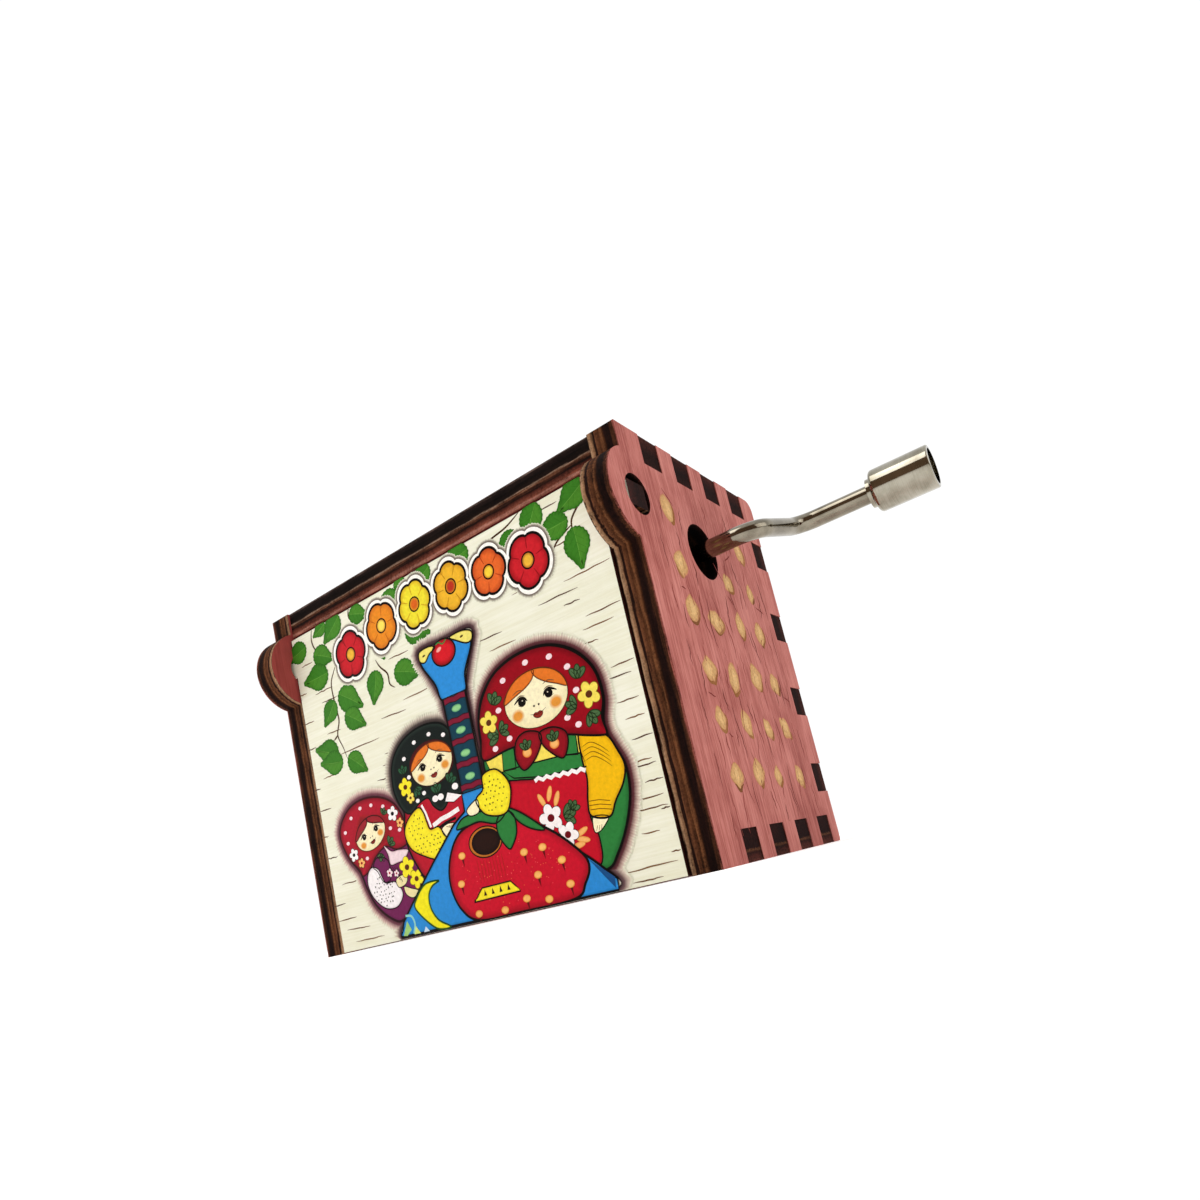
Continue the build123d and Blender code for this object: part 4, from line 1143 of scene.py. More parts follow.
@dataclass
class LidPicture:
    """The printed picture: three nested dolls round a berry-bodied string instrument, on birch bark.

    Drawing places are millimetres from the case's left face and from the floor.

    Attributes:
        left: Where the case's left face lies, in metres.
        front: Where the lid's face lies, in metres.
        ink: The print's finish.
        trim_mm: How far inside the lid's upper and lower edges the print ends.
    """

    left: float
    front: float
    ink: bpy.types.Material
    trim_mm: float = 0.03

    def sheet(self, name: str, level: float) -> FolkSheet:
        """Starts a stack of shapes.

        Args:
            name: The piece's name.
            level: How many layers above the lid's face it starts.

        Returns:
            The empty stack.
        """
        low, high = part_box("picture_lid")
        return FolkSheet(name, Vector((self.left, self.front, 0.0)), Vector((1, 0, 0)), Vector((0, 0, 1)),
                     Vector((0, -1, 0)), level, low=(-math.inf, low[2] / MM + self.trim_mm),
                     high=(math.inf, high[2] / MM - self.trim_mm))

    def place(self, sheet: Sheet) -> None:
        """Turns a finished stack into a piece on the lid."""
        sheet.build(self.ink, "lid", "printed_ply")

    # ---------------------------------------------------------------- ground
    def bark(self) -> None:
        """Thin tapered bark dashes, each a little wavy."""
        art = self.sheet("print_bark_dashes", 1.0)
        dashes = [
            (3.4, 33.8, 2.8), (3.4, 29.9, 2.2), (7.4, 37.3, 4), (8.5, 35.7, 3.5), (8.5, 31, 3.0),
            (10, 27.4, 9), (6.0, 25, 3), (23.5, 37.2, 4), (20.0, 29.8, 5), (24.8, 31, 5.5),
            (24.5, 27.6, 8), (19.4, 25, 3), (39.4, 33.9, 4.2), (41, 32.1, 4.4), (41.6, 30.7, 5.5),
            (46.2, 37.5, 6.6), (49.7, 34.8, 6), (53.2, 33.4, 2.4), (53.9, 36.1, 6.8), (55.8, 31.1, 5),
            (55.0, 29.7, 4.4), (54.1, 28.1, 2.7), (3.4, 23.8, 1.6), (3.4, 16.8, 1.6), (18.6, 23.5, 2.5),
            (17, 21.8, 4), (6, 9.5, 5), (4, 4.6, 4), (5.5, 3.1, 5), (7, 1.3, 6), (57.5, 24.4, 3.2),
            (56, 23.2, 4), (58, 15.8, 2.8), (57.2, 13.3, 2.8), (57.4, 12.8, 3), (58.4, 10.9, 2.4),
            (56.4, 9.2, 4), (56, 8.1, 4.6), (59.6, 7.7, 1.2), (53.8, 5.6, 1.8), (56.5, 5.6, 2.4),
            (59.6, 3, 1.2), (53, 1.9, 7.2), (54, 0.7, 4), (52.5, 45.6, 3), (53.6, 40.6, 3.2),
            (41, 40.2, 2), (25, 44.6, 2), (5.4, 42.2, 2.6), (3.6, 38.2, 2), (4, 20.6, 2.6),
            (3.8, 13.6, 2.4), (3.4, 6.8, 2.8), (22, 41, 1.6), (57.2, 20.3, 3), (57.8, 18.2, 2.6)]
        rng = random.Random(7)
        for x, z, length in dashes:
            drift = rng.uniform(-0.04, 0.02)
            path = [(x + length * i / 6, z + drift * length * i / 6 + rng.uniform(-0.05, 0.05))
                    for i in range(7)]
            art.curve(path, 0.17, rng.choice(("6A4C34", "7A5A3C", "54392A")), 4, taper=True)
        self.place(art)

    def twigs_and_leaves(self) -> None:
        """Birch twigs down the left and along the top edge, with their leaves."""
        art = self.sheet("print_birch_leaves", 2.0)
        twigs = [
            "13.4 40.6, 12.2 39.3, 11.2 37.6, 11.3 34.5, 11.5 32.2, 10.7 30.2, 11.4 28.2, 11.9 26.4",
            "9.0 46.9, 8.6 45.3, 9.0 43.9, 10.0 43.2",
            "10.7 30.2, 9.8 29.7",
            "17.5 46.9, 17.3 45.6, 18.4 44.2",
            "21.0 38.0, 21.6 36.8, 22.8 35.4, 22.9 33.9, 23.8 33.1",
            "50.0 46.9, 47.5 45.9, 44.6 45.4, 42.6 44.6",
            "60.4 46.0, 58.6 44.2, 56.9 42.6, 56.8 41.0",
            "56.9 42.1, 54.6 41.2, 53.4 40.2"]
        for twig in twigs:
            art.curve(twig, 0.27, "4B3320", 6, taper=True)
        art.level += 1
        leaves = [
            (5.0, 44.5, 2.2, 190), (10.7, 46.2, 1.5, 200), (13.4, 45.4, 2.3, 215), (10.5, 42.2, 2.2, -25),
            (8.4, 39.6, 2.6, 180), (19.2, 45.4, 1.9, -20), (26.2, 44.6, 2.3, -20), (28.4, 46.2, 1.4, -10),
            (32.3, 45.7, 1.9, 205), (38.6, 45.5, 2.4, 190), (47.2, 43.9, 1.9, 200), (51.2, 45.0, 2.3, 235),
            (57.6, 45.3, 2.3, 205), (54.2, 42.9, 2.2, 180), (56.9, 39.3, 2.4, -90), (9.9, 33.8, 2.0, 225),
            (14.5, 34.4, 2.6, -35), (20.0, 34.5, 2.2, 250), (26.4, 34.4, 2.4, -20), (14.8, 31.4, 2.2, -35),
            (8.0, 28.5, 2.4, 160), (8.6, 26.7, 2.3, 170), (13.7, 25.3, 2.1, -40), (29.6, 38.9, 2.2, -20),
            (22.2, 39.2, 1.6, -70)]
        for index, (x, z, size, tilt) in enumerate(leaves):
            # Neighbouring leaves lie at heights of their own.
            art.level = 3.0 + (index % 5) * 0.7
            art.leaf(x, z, size, tilt)
        self.place(art)

    def garland(self) -> None:
        """An arch of six plump painted blossoms with white borders, in warm colours."""
        art = self.sheet("print_blossom_arch", 7.0)
        blossoms = [
            (16.4, 40.4, 3.1, 5, "C41F2A", "8F1119", "E9B43A", 10),
            (23.4, 42.1, 3.0, 5, "E58A22", "C4651A", "F6DF5E", 40),
            (30.2, 42.6, 3.0, 6, "EBDD34", "CFA31E", "D8641E", 8),
            (37.0, 42.4, 3.0, 6, "EAB42E", "C4881A", "B8341E", 30),
            (43.5, 41.7, 2.8, 5, "E0662A", "B3401A", "F2CF3C", 5),
            (49.7, 40.6, 3.15, 5, "C6202A", "8F1119", "E9B43A", 46)]

        def petals(x: float, z: float, size: float, lobes: int, tilt: float) -> list[Point]:
            """A blossom's outline, a little taller than it is wide.

            Args:
                x: Its middle.
                z: Its middle.
                size: How far its petals reach.
                lobes: How many petals it has.
                tilt: Degrees anticlockwise.

            Returns:
                The outline.
            """
            loop = []
            for i in range(lobes * 12):
                angle = FULL_TURN * i / (lobes * 12)
                reach = size * (0.86 + 0.14 * abs(math.cos(lobes * angle / 2)) ** 0.7)
                aim = angle + math.radians(tilt)
                loop.append((x + reach * math.cos(aim), z + reach * 1.1 * math.sin(aim)))
            return loop

        for x, z, size, lobes, _, _, _, tilt in blossoms:
            art.glow(petals(x, z, size * 1.18, lobes, tilt), 0.55, ("3E3630", "8E867A", Shade.PAPER), 4)
        art.level = 9.5
        for x, z, size, lobes, _, _, _, tilt in blossoms:
            art.area(petals(x, z, size * 1.2, lobes, tilt), "FBFAF4")
        for x, z, size, lobes, tone, deep, heart, tilt in blossoms:
            outline = petals(x, z, size, lobes, tilt)
            art.level = 10.5
            art.area(outline, tone, deep, 0.9)
            art.level = 11.0
            art.line(outline, 0.34, Shade.LINE, closed=True)
            for i in range(lobes):
                angle = math.radians(tilt + 360 * (i + 0.5) / lobes)
                crease = [(x + size * share * math.cos(angle), z + size * 1.1 * share * math.sin(angle))
                          for share in (0.42, 0.6, 0.84)]
                art.line(crease, 0.16, deep, taper=True)
            art.level = 11.5
            art.oval((x, z), size * 0.3, size * 0.32, heart, 0, Shade.LINE, 0.2, deep)
        self.place(art)

    # ---------------------------------------------------------------- outlines used twice
    BIG: ClassVar[str] = ("36.7 20.2, 37.0 24.0, 38.4 27.0, 41.2 29.3, 45.2 30.3, 49.6 29.9, 53.2 28.0, "
                          "55.4 25.0, 55.8 21.6, 55.1 19.0, 55.2 17.2, 56.0 15.2, 56.6 13.2, 56.3 10.2, "
                          "54.9 6.9, 53.0 4.2, 51.2 2.8, 46.5 3.0, 40.0 8.0, 37.0 14.0, 36.5 18.2")
    MIDDLE: ClassVar[str] = ("20.0 20.2, 20.6 23.2, 22.6 25.3, 25.5 26.4, 28.8 26.5, 31.4 25.4, 32.6 22.5, "
                             "32.8 17.0, 31.6 13.0, 26.5 8.6, 23.2 7.2, 21.6 9.4, 20.7 12.0, 20.7 14.4, "
                             "21.2 16.4, 20.4 18.0")
    SMALL: ClassVar[str] = ("7.6 15.8, 8.3 17.8, 10.5 19.5, 13.5 20.1, 17.0 19.5, 19.6 17.9, 20.8 15.4, "
                            "21.4 11.8, 22.4 8.2, 21.0 5.4, 17.4 2.7, 15.0 3.3, 12.6 5.4, 11.3 8.0, "
                            "10.5 10.4, 8.6 12.9")
    NECK: ClassVar[str] = ("29.2 35.4, 29.9 36.2, 33.8 36.1, 38.2 36.2, 38.9 35.2, 37.9 33.2, 36.4 30.2, "
                           "35.9 28.0, 36.0 16.0, 34.0 13.0, 32.0 16.0, 32.0 28.0, 31.6 30.0, 30.3 33.0")
    BODY: ClassVar[str] = ("16.5 0.7, 17.4 2.4, 19.8 4.6, 24.8 8.9, 29.6 12.8, 33.0 13.8, 38.0 12.6, "
                           "43.0 9.6, 48.4 5.2, 52.0 1.9, 51.8 0.6, 45.0 0.35, 30.0 0.35, 18.0 0.35")

    def halos(self) -> None:
        """The soft dark glow printed round the whole group."""
        art = self.sheet("print_soft_halo", 12.0)
        for outline, deep, middle, faint in (
                (self.BIG, "1E080E", "5E3238", "C0A89C"), (self.MIDDLE, "120C0C", "4E4240", "B4A89A"),
                (self.SMALL, "2E0A16", "744450", "C8AAA2"), (self.NECK, "1A0C12", "563C40", "B8A69C"),
                (self.BODY, "1E1218", "6E5456", "C4B2A4")):
            art.glow(smooth_loop(outline, 6), 1.55, (deep, middle, faint, Shade.PAPER), 12)
        self.place(art)

    # ---------------------------------------------------------------- figures
    def small_doll(self) -> None:
        """The smallest doll, at the left."""
        art = self.sheet("print_small_doll", 15.0)
        line = Shade.LINE
        art.shape(self.SMALL, Shade.PLUM, "2A0C16", 0.3, rim="4C1238")
        art.level = 16.0
        art.shape("7.6 15.8, 8.3 17.8, 10.5 19.5, 13.5 20.1, 17.0 19.5, 19.6 17.9, 20.8 15.4, 20.9 12.6, "
                  "18.6 12.0, 16.5 12.8, 14.2 11.9, 12.5 10.4, 11.0 9.8, 10.4 10.8, 8.6 12.9", "A8142A",
                  "3A0C12", 0.22, rim="760C1C", rim_mm=0.8)
        art.level = 17.0
        art.shape("13.3 10.6, 14.4 11.7, 16.4 10.9, 16.3 8.4, 14.9 8.2, 14.0 9.8", Shade.PLUM, line, 0.14,
                  rim="4C1238", rim_mm=0.25)
        art.shape("14.2 10.1, 13.0 10.6, 12.0 9.9, 11.6 8.4, 12.3 6.5, 14.2 4.8, 16.4 4.5, 17.8 5.4, "
                  "18.1 6.5, 17.0 7.9, 15.3 8.0, 14.7 8.9", "F4F0F2", line, 0.16, rim="D6CAD0", rim_mm=0.4)
        art.level = 18.0
        art.flecked((12.0, 4.9), (0.62, 0.56), 10,
                    lambda x, z: (x - 14.6) ** 2 / 5.4 + (z - 7.0) ** 2 / 6.0 < 0.86
                    and not (x > 14.6 and z > 8.2), "1E181C", 3)
        art.level = 17.0
        art.shape("16.1 13.0, 17.4 12.0, 18.8 11.9, 20.6 11.5, 19.6 10.4, 18.2 10.2, 16.8 10.2, 16.6 11.6",
                  "EBD6DC", line, 0.12, rim="C48FA0", rim_mm=0.25)
        art.sprig(17.3, 13.0, 0.9, 40)
        art.sprig(15.4, 11.9, 0.8, -120)
        art.level = 18.0
        for i in range(4):
            art.line([(16.6 + i * 0.42, 10.0 - i * 0.1), (17.7 + i * 0.4, 8.2 - i * 0.3)], 0.1, "2A1A20")
        art.blossom(16.3, 9.2, 0.6, Shade.BLUSH_WHITE, Shade.SCARF)
        art.blossom(17.6, 8.9, 0.5, Shade.BLUSH_WHITE, Shade.SCARF)
        art.shape("17.3 8.1, 18.6 8.5, 19.5 8.0, 19.0 7.2, 17.6 7.0", "E9DDA6", line, 0.12)
        art.shape("18.6 6.9, 19.8 6.5, 21.2 5.9, 20.0 5.2, 18.8 5.8", "E9DDA6", line, 0.12)
        art.level = 19.0
        art.blossom(19.8, 9.3, 1.45, Shade.YELLOW, Shade.BROWN, 20)
        art.level = 19.8
        art.blossom(21.2, 7.5, 1.3, Shade.YELLOW, Shade.BROWN, 50)
        art.level = 17.0
        art.shape("10.3 14.2, 11.0 16.2, 12.4 18.0, 14.6 17.6, 17.3 17.2, 18.2 15.8, 17.6 13.8, 15.6 12.9, "
                  "13.2 12.7, 11.3 13.2", "8A161E", None, rim="A81824", rim_mm=0.4)
        art.level = 18.0
        art.face(13.9, 15.2, 3.2, 2.2, 16, ("96202A", "7A141E", "3A0A0E"))
        art.level = 18.0
        art.dots("8.8 16.4, 10.5 18.1, 12.7 19.0, 15.0 18.9, 17.3 18.2, 18.0 15.0, 19.7 14.4, 12.4 12.0, "
                 "9.0 14.8", 0.3, Shade.BLUSH_WHITE)
        art.blossom(18.9, 16.8, 1.05, Shade.WHITE, Shade.LINE)
        art.blossom(9.8, 13.0, 0.95, Shade.WHITE, Shade.LINE, 30)
        art.blossom(20.0, 15.3, 0.7, Shade.AMBER, Shade.SCARF)
        art.blossom(11.1, 11.6, 0.7, Shade.AMBER, Shade.SCARF)
        art.sprig(17.1, 17.2, 0.7, 60)
        self.place(art)

    def middle_doll(self) -> None:
        """The middle doll, with a black scarf."""
        art = self.sheet("print_middle_doll", 21.0)
        line = Shade.LINE
        art.shape(self.MIDDLE, "B3152A", line, 0.3, rim="7A0E1C", rim_mm=0.8)
        art.level = 22.0
        art.shape("20.0 20.2, 20.6 23.2, 22.6 25.3, 25.5 26.4, 28.8 26.5, 31.4 25.4, 32.6 22.5, 32.6 17.6, "
                  "31.6 16.3, 30.0 16.8, 29.1 15.6, 27.9 15.1, 26.7 16.0, 26.0 17.2, 24.3 16.9, 22.4 16.0, "
                  "21.2 16.6, 20.4 18.2", Shade.BLACK_SCARF, "050807", 0.22, rim="1F2E28", rim_mm=0.6)
        art.level = 23.0
        art.oval((27.75, 21.5), 4.1, 2.95, "6E1414", 0, None, rim="3A0E10", steps=44)
        art.level = 24.0
        art.face(27.8, 21.35, 3.85, 2.7, 8)
        art.dots("23.0 23.3, 25.4 24.9, 28.3 25.2, 30.8 24.4, 23.3 20.7, 25.5 18.0, 24.1 17.3", 0.33,
                 Shade.WHITE)
        art.blossom(22.3, 19.6, 1.25, Shade.YELLOW, Shade.BROWN, 15)
        art.blossom(22.9, 18.0, 0.75, Shade.STRAW, Shade.BROWN, 40)
        art.sprig(22.4, 21.5, 0.9, 90, ("2A5A3E", "163A26"))
        art.sprig(24.2, 18.9, 0.9, -60, ("2A5A3E", "163A26"))
        art.sprig(27.8, 17.6, 1.0, 90, ("2A5A3E", "163A26"))
        art.sprig(30.4, 18.3, 1.0, 60, ("2A5A3E", "163A26"))
        art.dots("27.3 16.8, 28.3 16.8, 31.1 17.5", 0.5, Shade.WHITE)
        art.level = 23.0
        art.shape("28.9 16.0, 29.6 17.1, 32.0 16.2, 30.4 15.6", Shade.WHITE, line, 0.12, smooth=False)
        art.line("26.0 13.5, 27.6 14.0, 29.2 14.2, 31.0 14.6", 0.6, "F1ECEC")
        art.line("24.6 16.6, 25.1 15.4, 25.4 14.2, 25.6 13.4", 0.35, "F1ECEC")
        art.line("26.6 12.9, 28.4 13.4, 30.2 13.6", 0.35, line)
        art.level = 24.0
        art.shape("23.9 16.4, 22.2 15.7, 20.9 14.5, 20.6 13.1, 21.4 11.3, 23.5 10.0, 25.6 9.2, 27.2 9.8, "
                  "28.1 11.0, 27.6 12.2, 26.9 13.2, 25.4 13.2, 25.0 14.2, 24.7 15.6", Shade.YELLOW, line,
                  0.2, rim="D6B21C", rim_mm=0.5)
        art.shape("27.4 12.7, 28.6 13.2, 30.0 12.9, 29.7 12.0, 28.0 11.6", Shade.SKIN, line, 0.14)
        art.level = 25.0
        for i in range(3):
            art.line([(28.3 + i * 0.42, 12.9), (29.1 + i * 0.36, 12.6)], 0.08, "8A6A3A")
        art.flecked((21.1, 9.8), (0.7, 0.64), 11,
                    lambda x, z: min((x - 24.8) ** 2 / 9.5 + (z - 11.4) ** 2 / 2.9,
                                     (x - 22.9) ** 2 / 2.9 + (z - 13.7) ** 2 / 4.6) < 0.72, "54400E", 11)
        self.place(art)

    def big_doll(self) -> None:
        """The largest doll, at the right."""
        art = self.sheet("print_big_doll", 21.0)
        line = Shade.LINE
        art.shape(self.BIG, Shade.GREEN, line, 0.3, rim=Shade.GREEN_DEEP, rim_mm=0.7)
        art.level = 22.0
        art.shape("39.2 15.6, 41.4 15.6, 44.0 15.1, 51.4 14.3, 51.0 11.4, 50.5 9.0, 51.1 6.4, 50.4 3.4, "
                  "46.5 3.4, 40.5 8.0, 38.8 12.0", Shade.APRON, line, 0.2, rim="8E1020", rim_mm=0.6)
        art.shape("36.9 19.4, 39.9 19.6, 39.5 17.2, 37.6 17.0", Shade.STRAW, line, 0.16, smooth=False)
        art.shape("43.6 17.0, 45.9 19.4, 48.4 16.7", Shade.STRAW, line, 0.16, smooth=False)
        art.shape("51.0 18.8, 52.0 18.6, 51.6 16.4, 50.8 16.4", Shade.STRAW, line, 0.14, smooth=False)
        art.level = 23.0
        art.shape("39.8 19.6, 41.7 19.6, 41.4 17.0, 39.4 17.2", Shade.GREEN, line, 0.16, smooth=False)
        art.shape("49.3 19.0, 51.0 18.6, 50.7 16.2, 48.9 16.6", Shade.GREEN, line, 0.16, smooth=False)
        art.shape("39.4 17.25, 44.0 17.0, 48.5 16.7, 51.2 16.25, 51.5 14.6, 45.0 15.1, 42.2 15.7, "
                  "40.8 16.0", Shade.GREEN, line, 0.18, smooth=False)
        zigzag = [(43.8 + i * 0.62, 14.95 - i * 0.055 + (0.2 if i % 2 else -0.12)) for i in range(13)]
        art.level = 24.0
        art.line(zigzag, 0.5, "F6F1F1")
        art.level = 23.0
        art.shape("51.4 18.5, 53.2 18.1, 55.1 17.2, 56.0 15.3, 56.5 13.4, 55.8 11.6, 54.3 9.9, 53.1 8.4, "
                  "50.7 9.0, 50.6 10.6, 51.2 13.2, 51.1 15.4", Shade.MUSTARD, line, 0.24, rim="C8930C",
                  rim_mm=0.55)
        art.level = 24.0
        for i in range(4):
            start = 15.2 + i * 0.55
            art.curve([(51.4, start), (52.7, start + 0.25), (53.9, start - 0.5), (54.9, start - 1.5)], 0.1,
                      "7A5206", taper=True)
        for i in range(3):
            art.line([(50.7, 9.7 + i * 0.5), (52.1, 9.55 + i * 0.5), (53.6, 9.1 + i * 0.5)], 0.1, "7A5206")
        art.level = 23.0
        art.shape("51.0 8.9, 52.9 8.5, 52.3 7.7, 51.4 7.1, 50.7 7.1, 50.6 8.0", Shade.SKIN, line, 0.14)
        for i in range(3):
            art.line([(50.9 + i * 0.35, 7.2), (51.2 + i * 0.3, 7.8)], 0.07, "8A6A3A")
        # Apron flowers.
        art.level = 24.0
        for x, z, tilt in ((44.2, 12.4, 115), (45.5, 12.9, 65), (46.4, 12.1, 60), (48.9, 7.6, 20),
                           (48.9, 6.7, -15), (48.1, 6.2, 5)):
            art.oval((x, z), 0.95, 0.36, Shade.AMBER, tilt, None, rim="E08A3A", steps=20)
        art.sprig(47.1, 9.8, 1.3, 10)
        art.sprig(48.3, 10.4, 0.9, 50)
        art.level = 25.0
        art.blossom(45.0, 10.1, 1.75, Shade.WHITE, Shade.SCARF_DEEP, 30)
        art.blossom(46.9, 7.7, 1.55, Shade.WHITE, Shade.SCARF_DEEP, 60)
        # Scarf with its knot.
        art.level = 25.0
        art.shape("36.7 19.3, 36.9 22.0, 37.2 24.4, 38.6 27.0, 41.2 29.2, 45.2 30.2, 49.6 29.8, 53.1 27.9, "
                  "55.3 25.0, 55.7 21.6, 55.0 19.4, 55.2 17.6, 54.6 17.4, 52.4 18.0, 49.6 18.9, 46.0 19.4, "
                  "41.0 19.6", Shade.SCARF, line, 0.26, rim=Shade.SCARF_DEEP, rim_mm=1.0)
        art.level = 26.0
        for lobe in ("46.0 20.2, 45.9 18.9, 44.5 17.3, 42.6 16.5, 41.7 18.2, 42.3 20.2, 44.0 20.9",
                     "46.0 20.2, 48.0 20.3, 49.7 19.3, 49.7 17.8, 48.6 16.4, 46.9 17.6, 46.0 18.9"):
            art.shape(lobe, "8E0F1D", line, 0.2, rim="5E0812", rim_mm=0.5)
        art.level = 27.0
        for x, z in ((43.6, 18.7), (47.8, 18.6)):
            art.oval((x, z - 0.25), 0.72, 0.62, Shade.AMBER, 0, None, rim="D8641E")
            art.sprig(x, z + 0.2, 0.95, 90)
        art.level = 27.0
        art.face(46.5, 24.3, 4.85, 3.45, 0)
        art.level = 26.5
        art.dots("42.2 27.9, 46.1 28.9, 49.7 28.4, 51.9 26.4, 52.4 23.4, 40.6 24.6, 41.4 20.8, 38.9 20.2, "
                 "50.4 20.7, 51.7 19.5", 0.42, Shade.BLUSH_WHITE)
        for x, z, size, tilt in ((40.0, 25.7, 1.2, 60), (39.6, 21.6, 1.3, 160), (40.3, 22.0, 1.1, 20),
                                 (53.0, 24.8, 1.2, 80), (51.8, 21.6, 1.2, 150), (53.5, 20.2, 1.2, -60)):
            art.sprig(x, z, size, tilt)
        art.level = 27.5
        art.blossom(38.7, 23.6, 1.45, Shade.STRAW, Shade.BROWN, 10)
        art.blossom(54.0, 22.4, 1.6, Shade.STRAW, Shade.BROWN, 35)
        self.place(art)

    def instrument(self) -> None:
        """The string instrument in the middle: head, fretted neck and berry body."""
        art = self.sheet("print_instrument", 30.0)
        line = Shade.LINE
        art.shape("29.4 35.0, 33.8 35.7, 38.6 34.9, 36.6 31.0, 35.9 28.6, 32.0 28.6, 31.2 31.0", Shade.BLUE,
                  line, 0.3, rim=Shade.BLUE_DEEP, rim_mm=0.5)
        art.level = 31.0
        for curl, knot in (
                ("29.3 34.8, 29.5 36.0, 31.4 36.2, 32.4 35.7, 31.2 35.2, 30.2 34.4", (30.2, 35.3)),
                ("38.8 34.6, 38.9 35.6, 37.4 36.2, 35.2 36.1, 36.2 35.3, 37.8 34.4", (37.2, 35.5))):
            art.shape(curl, "EBDF72", line, 0.2, rim="C9B23A", rim_mm=0.25)
            art.level += 0.5
            art.oval(knot, 0.3, 0.14, "5A4A1C", 10, None, steps=12)
            art.level -= 0.5
        art.oval((33.7, 34.6), 2.1, 1.75, "D11A26", 0, line, 0.22, rim="7A0A12", steps=32)
        art.level = 32.0
        art.oval((33.0, 35.2), 0.55, 0.32, "F0A8A0", 20, None, rim="D11A26", steps=14)
        art.curve("32.6 36.0, 33.2 36.1, 33.8 35.7, 34.5 36.1", 0.18, "2E7D3A")
        art.level = 31.0
        art.shape("31.95 28.8, 35.95 28.8, 35.9 16.2, 32.1 16.2", Shade.TEAL, line, 0.3, smooth=False,
                  rim="0B2531", rim_mm=0.5)
        art.level = 32.0
        for i, z in enumerate((28.3, 25.5, 22.8, 19.8, 16.9)):
            bar = [(32.1, z - 0.42), (33.0, z - 0.3), (34.1, z - 0.46), (35.0, z - 0.28), (35.85, z - 0.4),
                   (35.85, z + 0.34), (34.9, z + 0.46), (33.9, z + 0.3), (32.9, z + 0.44), (32.1, z + 0.32)]
            art.shape(bar, "7A1830", "2A0A18", 0.1, smooth=False, rim="4A1024", rim_mm=0.15)
        for z in (27.0, 24.1, 21.1, 18.1):
            art.oval((34.0, z), 0.86, 0.48, "8FCB8A", 0, None, rim="3E8A66", steps=20)
        # Blue corners, crescent and flags.
        art.level = 29.0
        art.shape("16.4 0.5, 17.4 2.4, 19.8 4.6, 24.8 8.9, 29.6 12.8, 31.9 14.0, 32.0 16.3, 36.0 16.3, "
                  "36.4 14.0, 41.0 11.0, 46.0 7.2, 49.6 4.2, 52.3 1.6, 52.1 0.3", Shade.BLUE, line, 0.3,
                  smooth=False, rim=Shade.BLUE_DEEP, rim_mm=0.45)
        art.level = 30.0
        art.shape("25.2 6.5, 22.6 6.5, 20.6 5.0, 20.0 3.8, 21.6 1.9, 23.6 0.5, 25.8 0.45, 23.9 1.6, "
                  "22.9 3.2, 22.9 4.9, 23.8 6.0", "F0E61C", "1E4A1C", 0.24, rim="C6CC1E", rim_mm=0.3)
        for flag, tone in (("16.9 0.6, 18.0 2.4, 18.6 1.2, 17.6 0.5", "9FD07A"),
                           ("19.0 0.5, 19.5 1.5, 20.2 0.5", "D8E87A"),
                           ("20.8 0.5, 21.3 1.2, 21.9 0.5", "CFE4F4")):
            art.shape(flag, tone, None, smooth=False)
        art.curve("17.9 3.1, 19.0 2.9, 19.4 1.8, 18.9 0.6", 0.3, "8FD0C8")
        art.shape("49.0 4.4, 52.0 1.8, 51.8 0.6, 50.6 2.2", "1B4E86", None, smooth=False)
        # The berry body.
        art.level = 31.0
        art.shape("27.1 5.4, 27.8 8.6, 29.8 11.2, 32.6 12.2, 36.5 12.0, 40.6 11.0, 44.8 8.6, 48.2 5.4, "
                  "48.9 3.6, 47.9 1.9, 46.0 0.4, 38.0 0.3, 31.0 0.4, 28.2 2.2", Shade.BERRY, line, 0.32,
                  rim=Shade.BERRY_DEEP, rim_mm=1.0)
        art.level = 32.0
        rng = random.Random(5)
        for _ in range(150):
            angle, reach = rng.uniform(0, FULL_TURN), math.sqrt(rng.random()) * 0.9
            x, z = 38 + 9.6 * reach * math.cos(angle), 6.1 + 5.2 * reach * math.sin(angle)
            if z < 10.6 - max(0, x - 38) * 0.55:
                art.oval((x, z), 0.07, 0.07, rng.choice(("E04A50", "DE5A3C", "B0121E")), 0, None, steps=6)
        for i in range(9):
            x = 32.3 + i * 0.52
            art.line([(x, 7.7), (x + 0.05, 6.2), (x + 0.02, 4.8)], 0.14, "A81A1C", taper=True)
        art.level = 33.0
        art.oval((34.3, 9.6), 2.75, 1.9, "D58A38", 0, line, 0.16, rim="A85E1C", steps=36)
        art.level = 34.0
        art.oval((34.4, 9.6), 2.4, 1.62, "25100A", 0, None, rim="120603", steps=36)
        art.level = 33.0
        art.shape("30.6 2.7, 31.6 3.6, 32.3 4.2, 37.0 4.2, 37.6 3.6, 38.3 2.75", Shade.YELLOW, line, 0.18,
                  smooth=False, rim="CFA81C", rim_mm=0.25)
        art.level = 34.0
        for i in range(4):
            art.shape([(32.4 + i * 1.3, 3.2), (32.9 + i * 1.3, 3.2), (32.65 + i * 1.3, 3.95)], "3A2410", None,
                      smooth=False)
        art.level = 33.0
        for x, z in ((30.0, 8.7), (29.0, 5.3), (31.0, 1.2), (35.3, 0.95), (40.0, 7.1), (42.9, 7.1),
                     (45.3, 5.1), (41.4, 4.1), (39.0, 1.7), (42.3, 1.05), (45.8, 2.2), (38.2, 9.6)):
            art.level = 33.0
            art.shape([(x - 0.22, z - 0.2), (x + 0.26, z - 0.2), (x + 0.12, z - 1.5)], "5E0C12", None,
                      smooth=False)
            art.level = 34.0
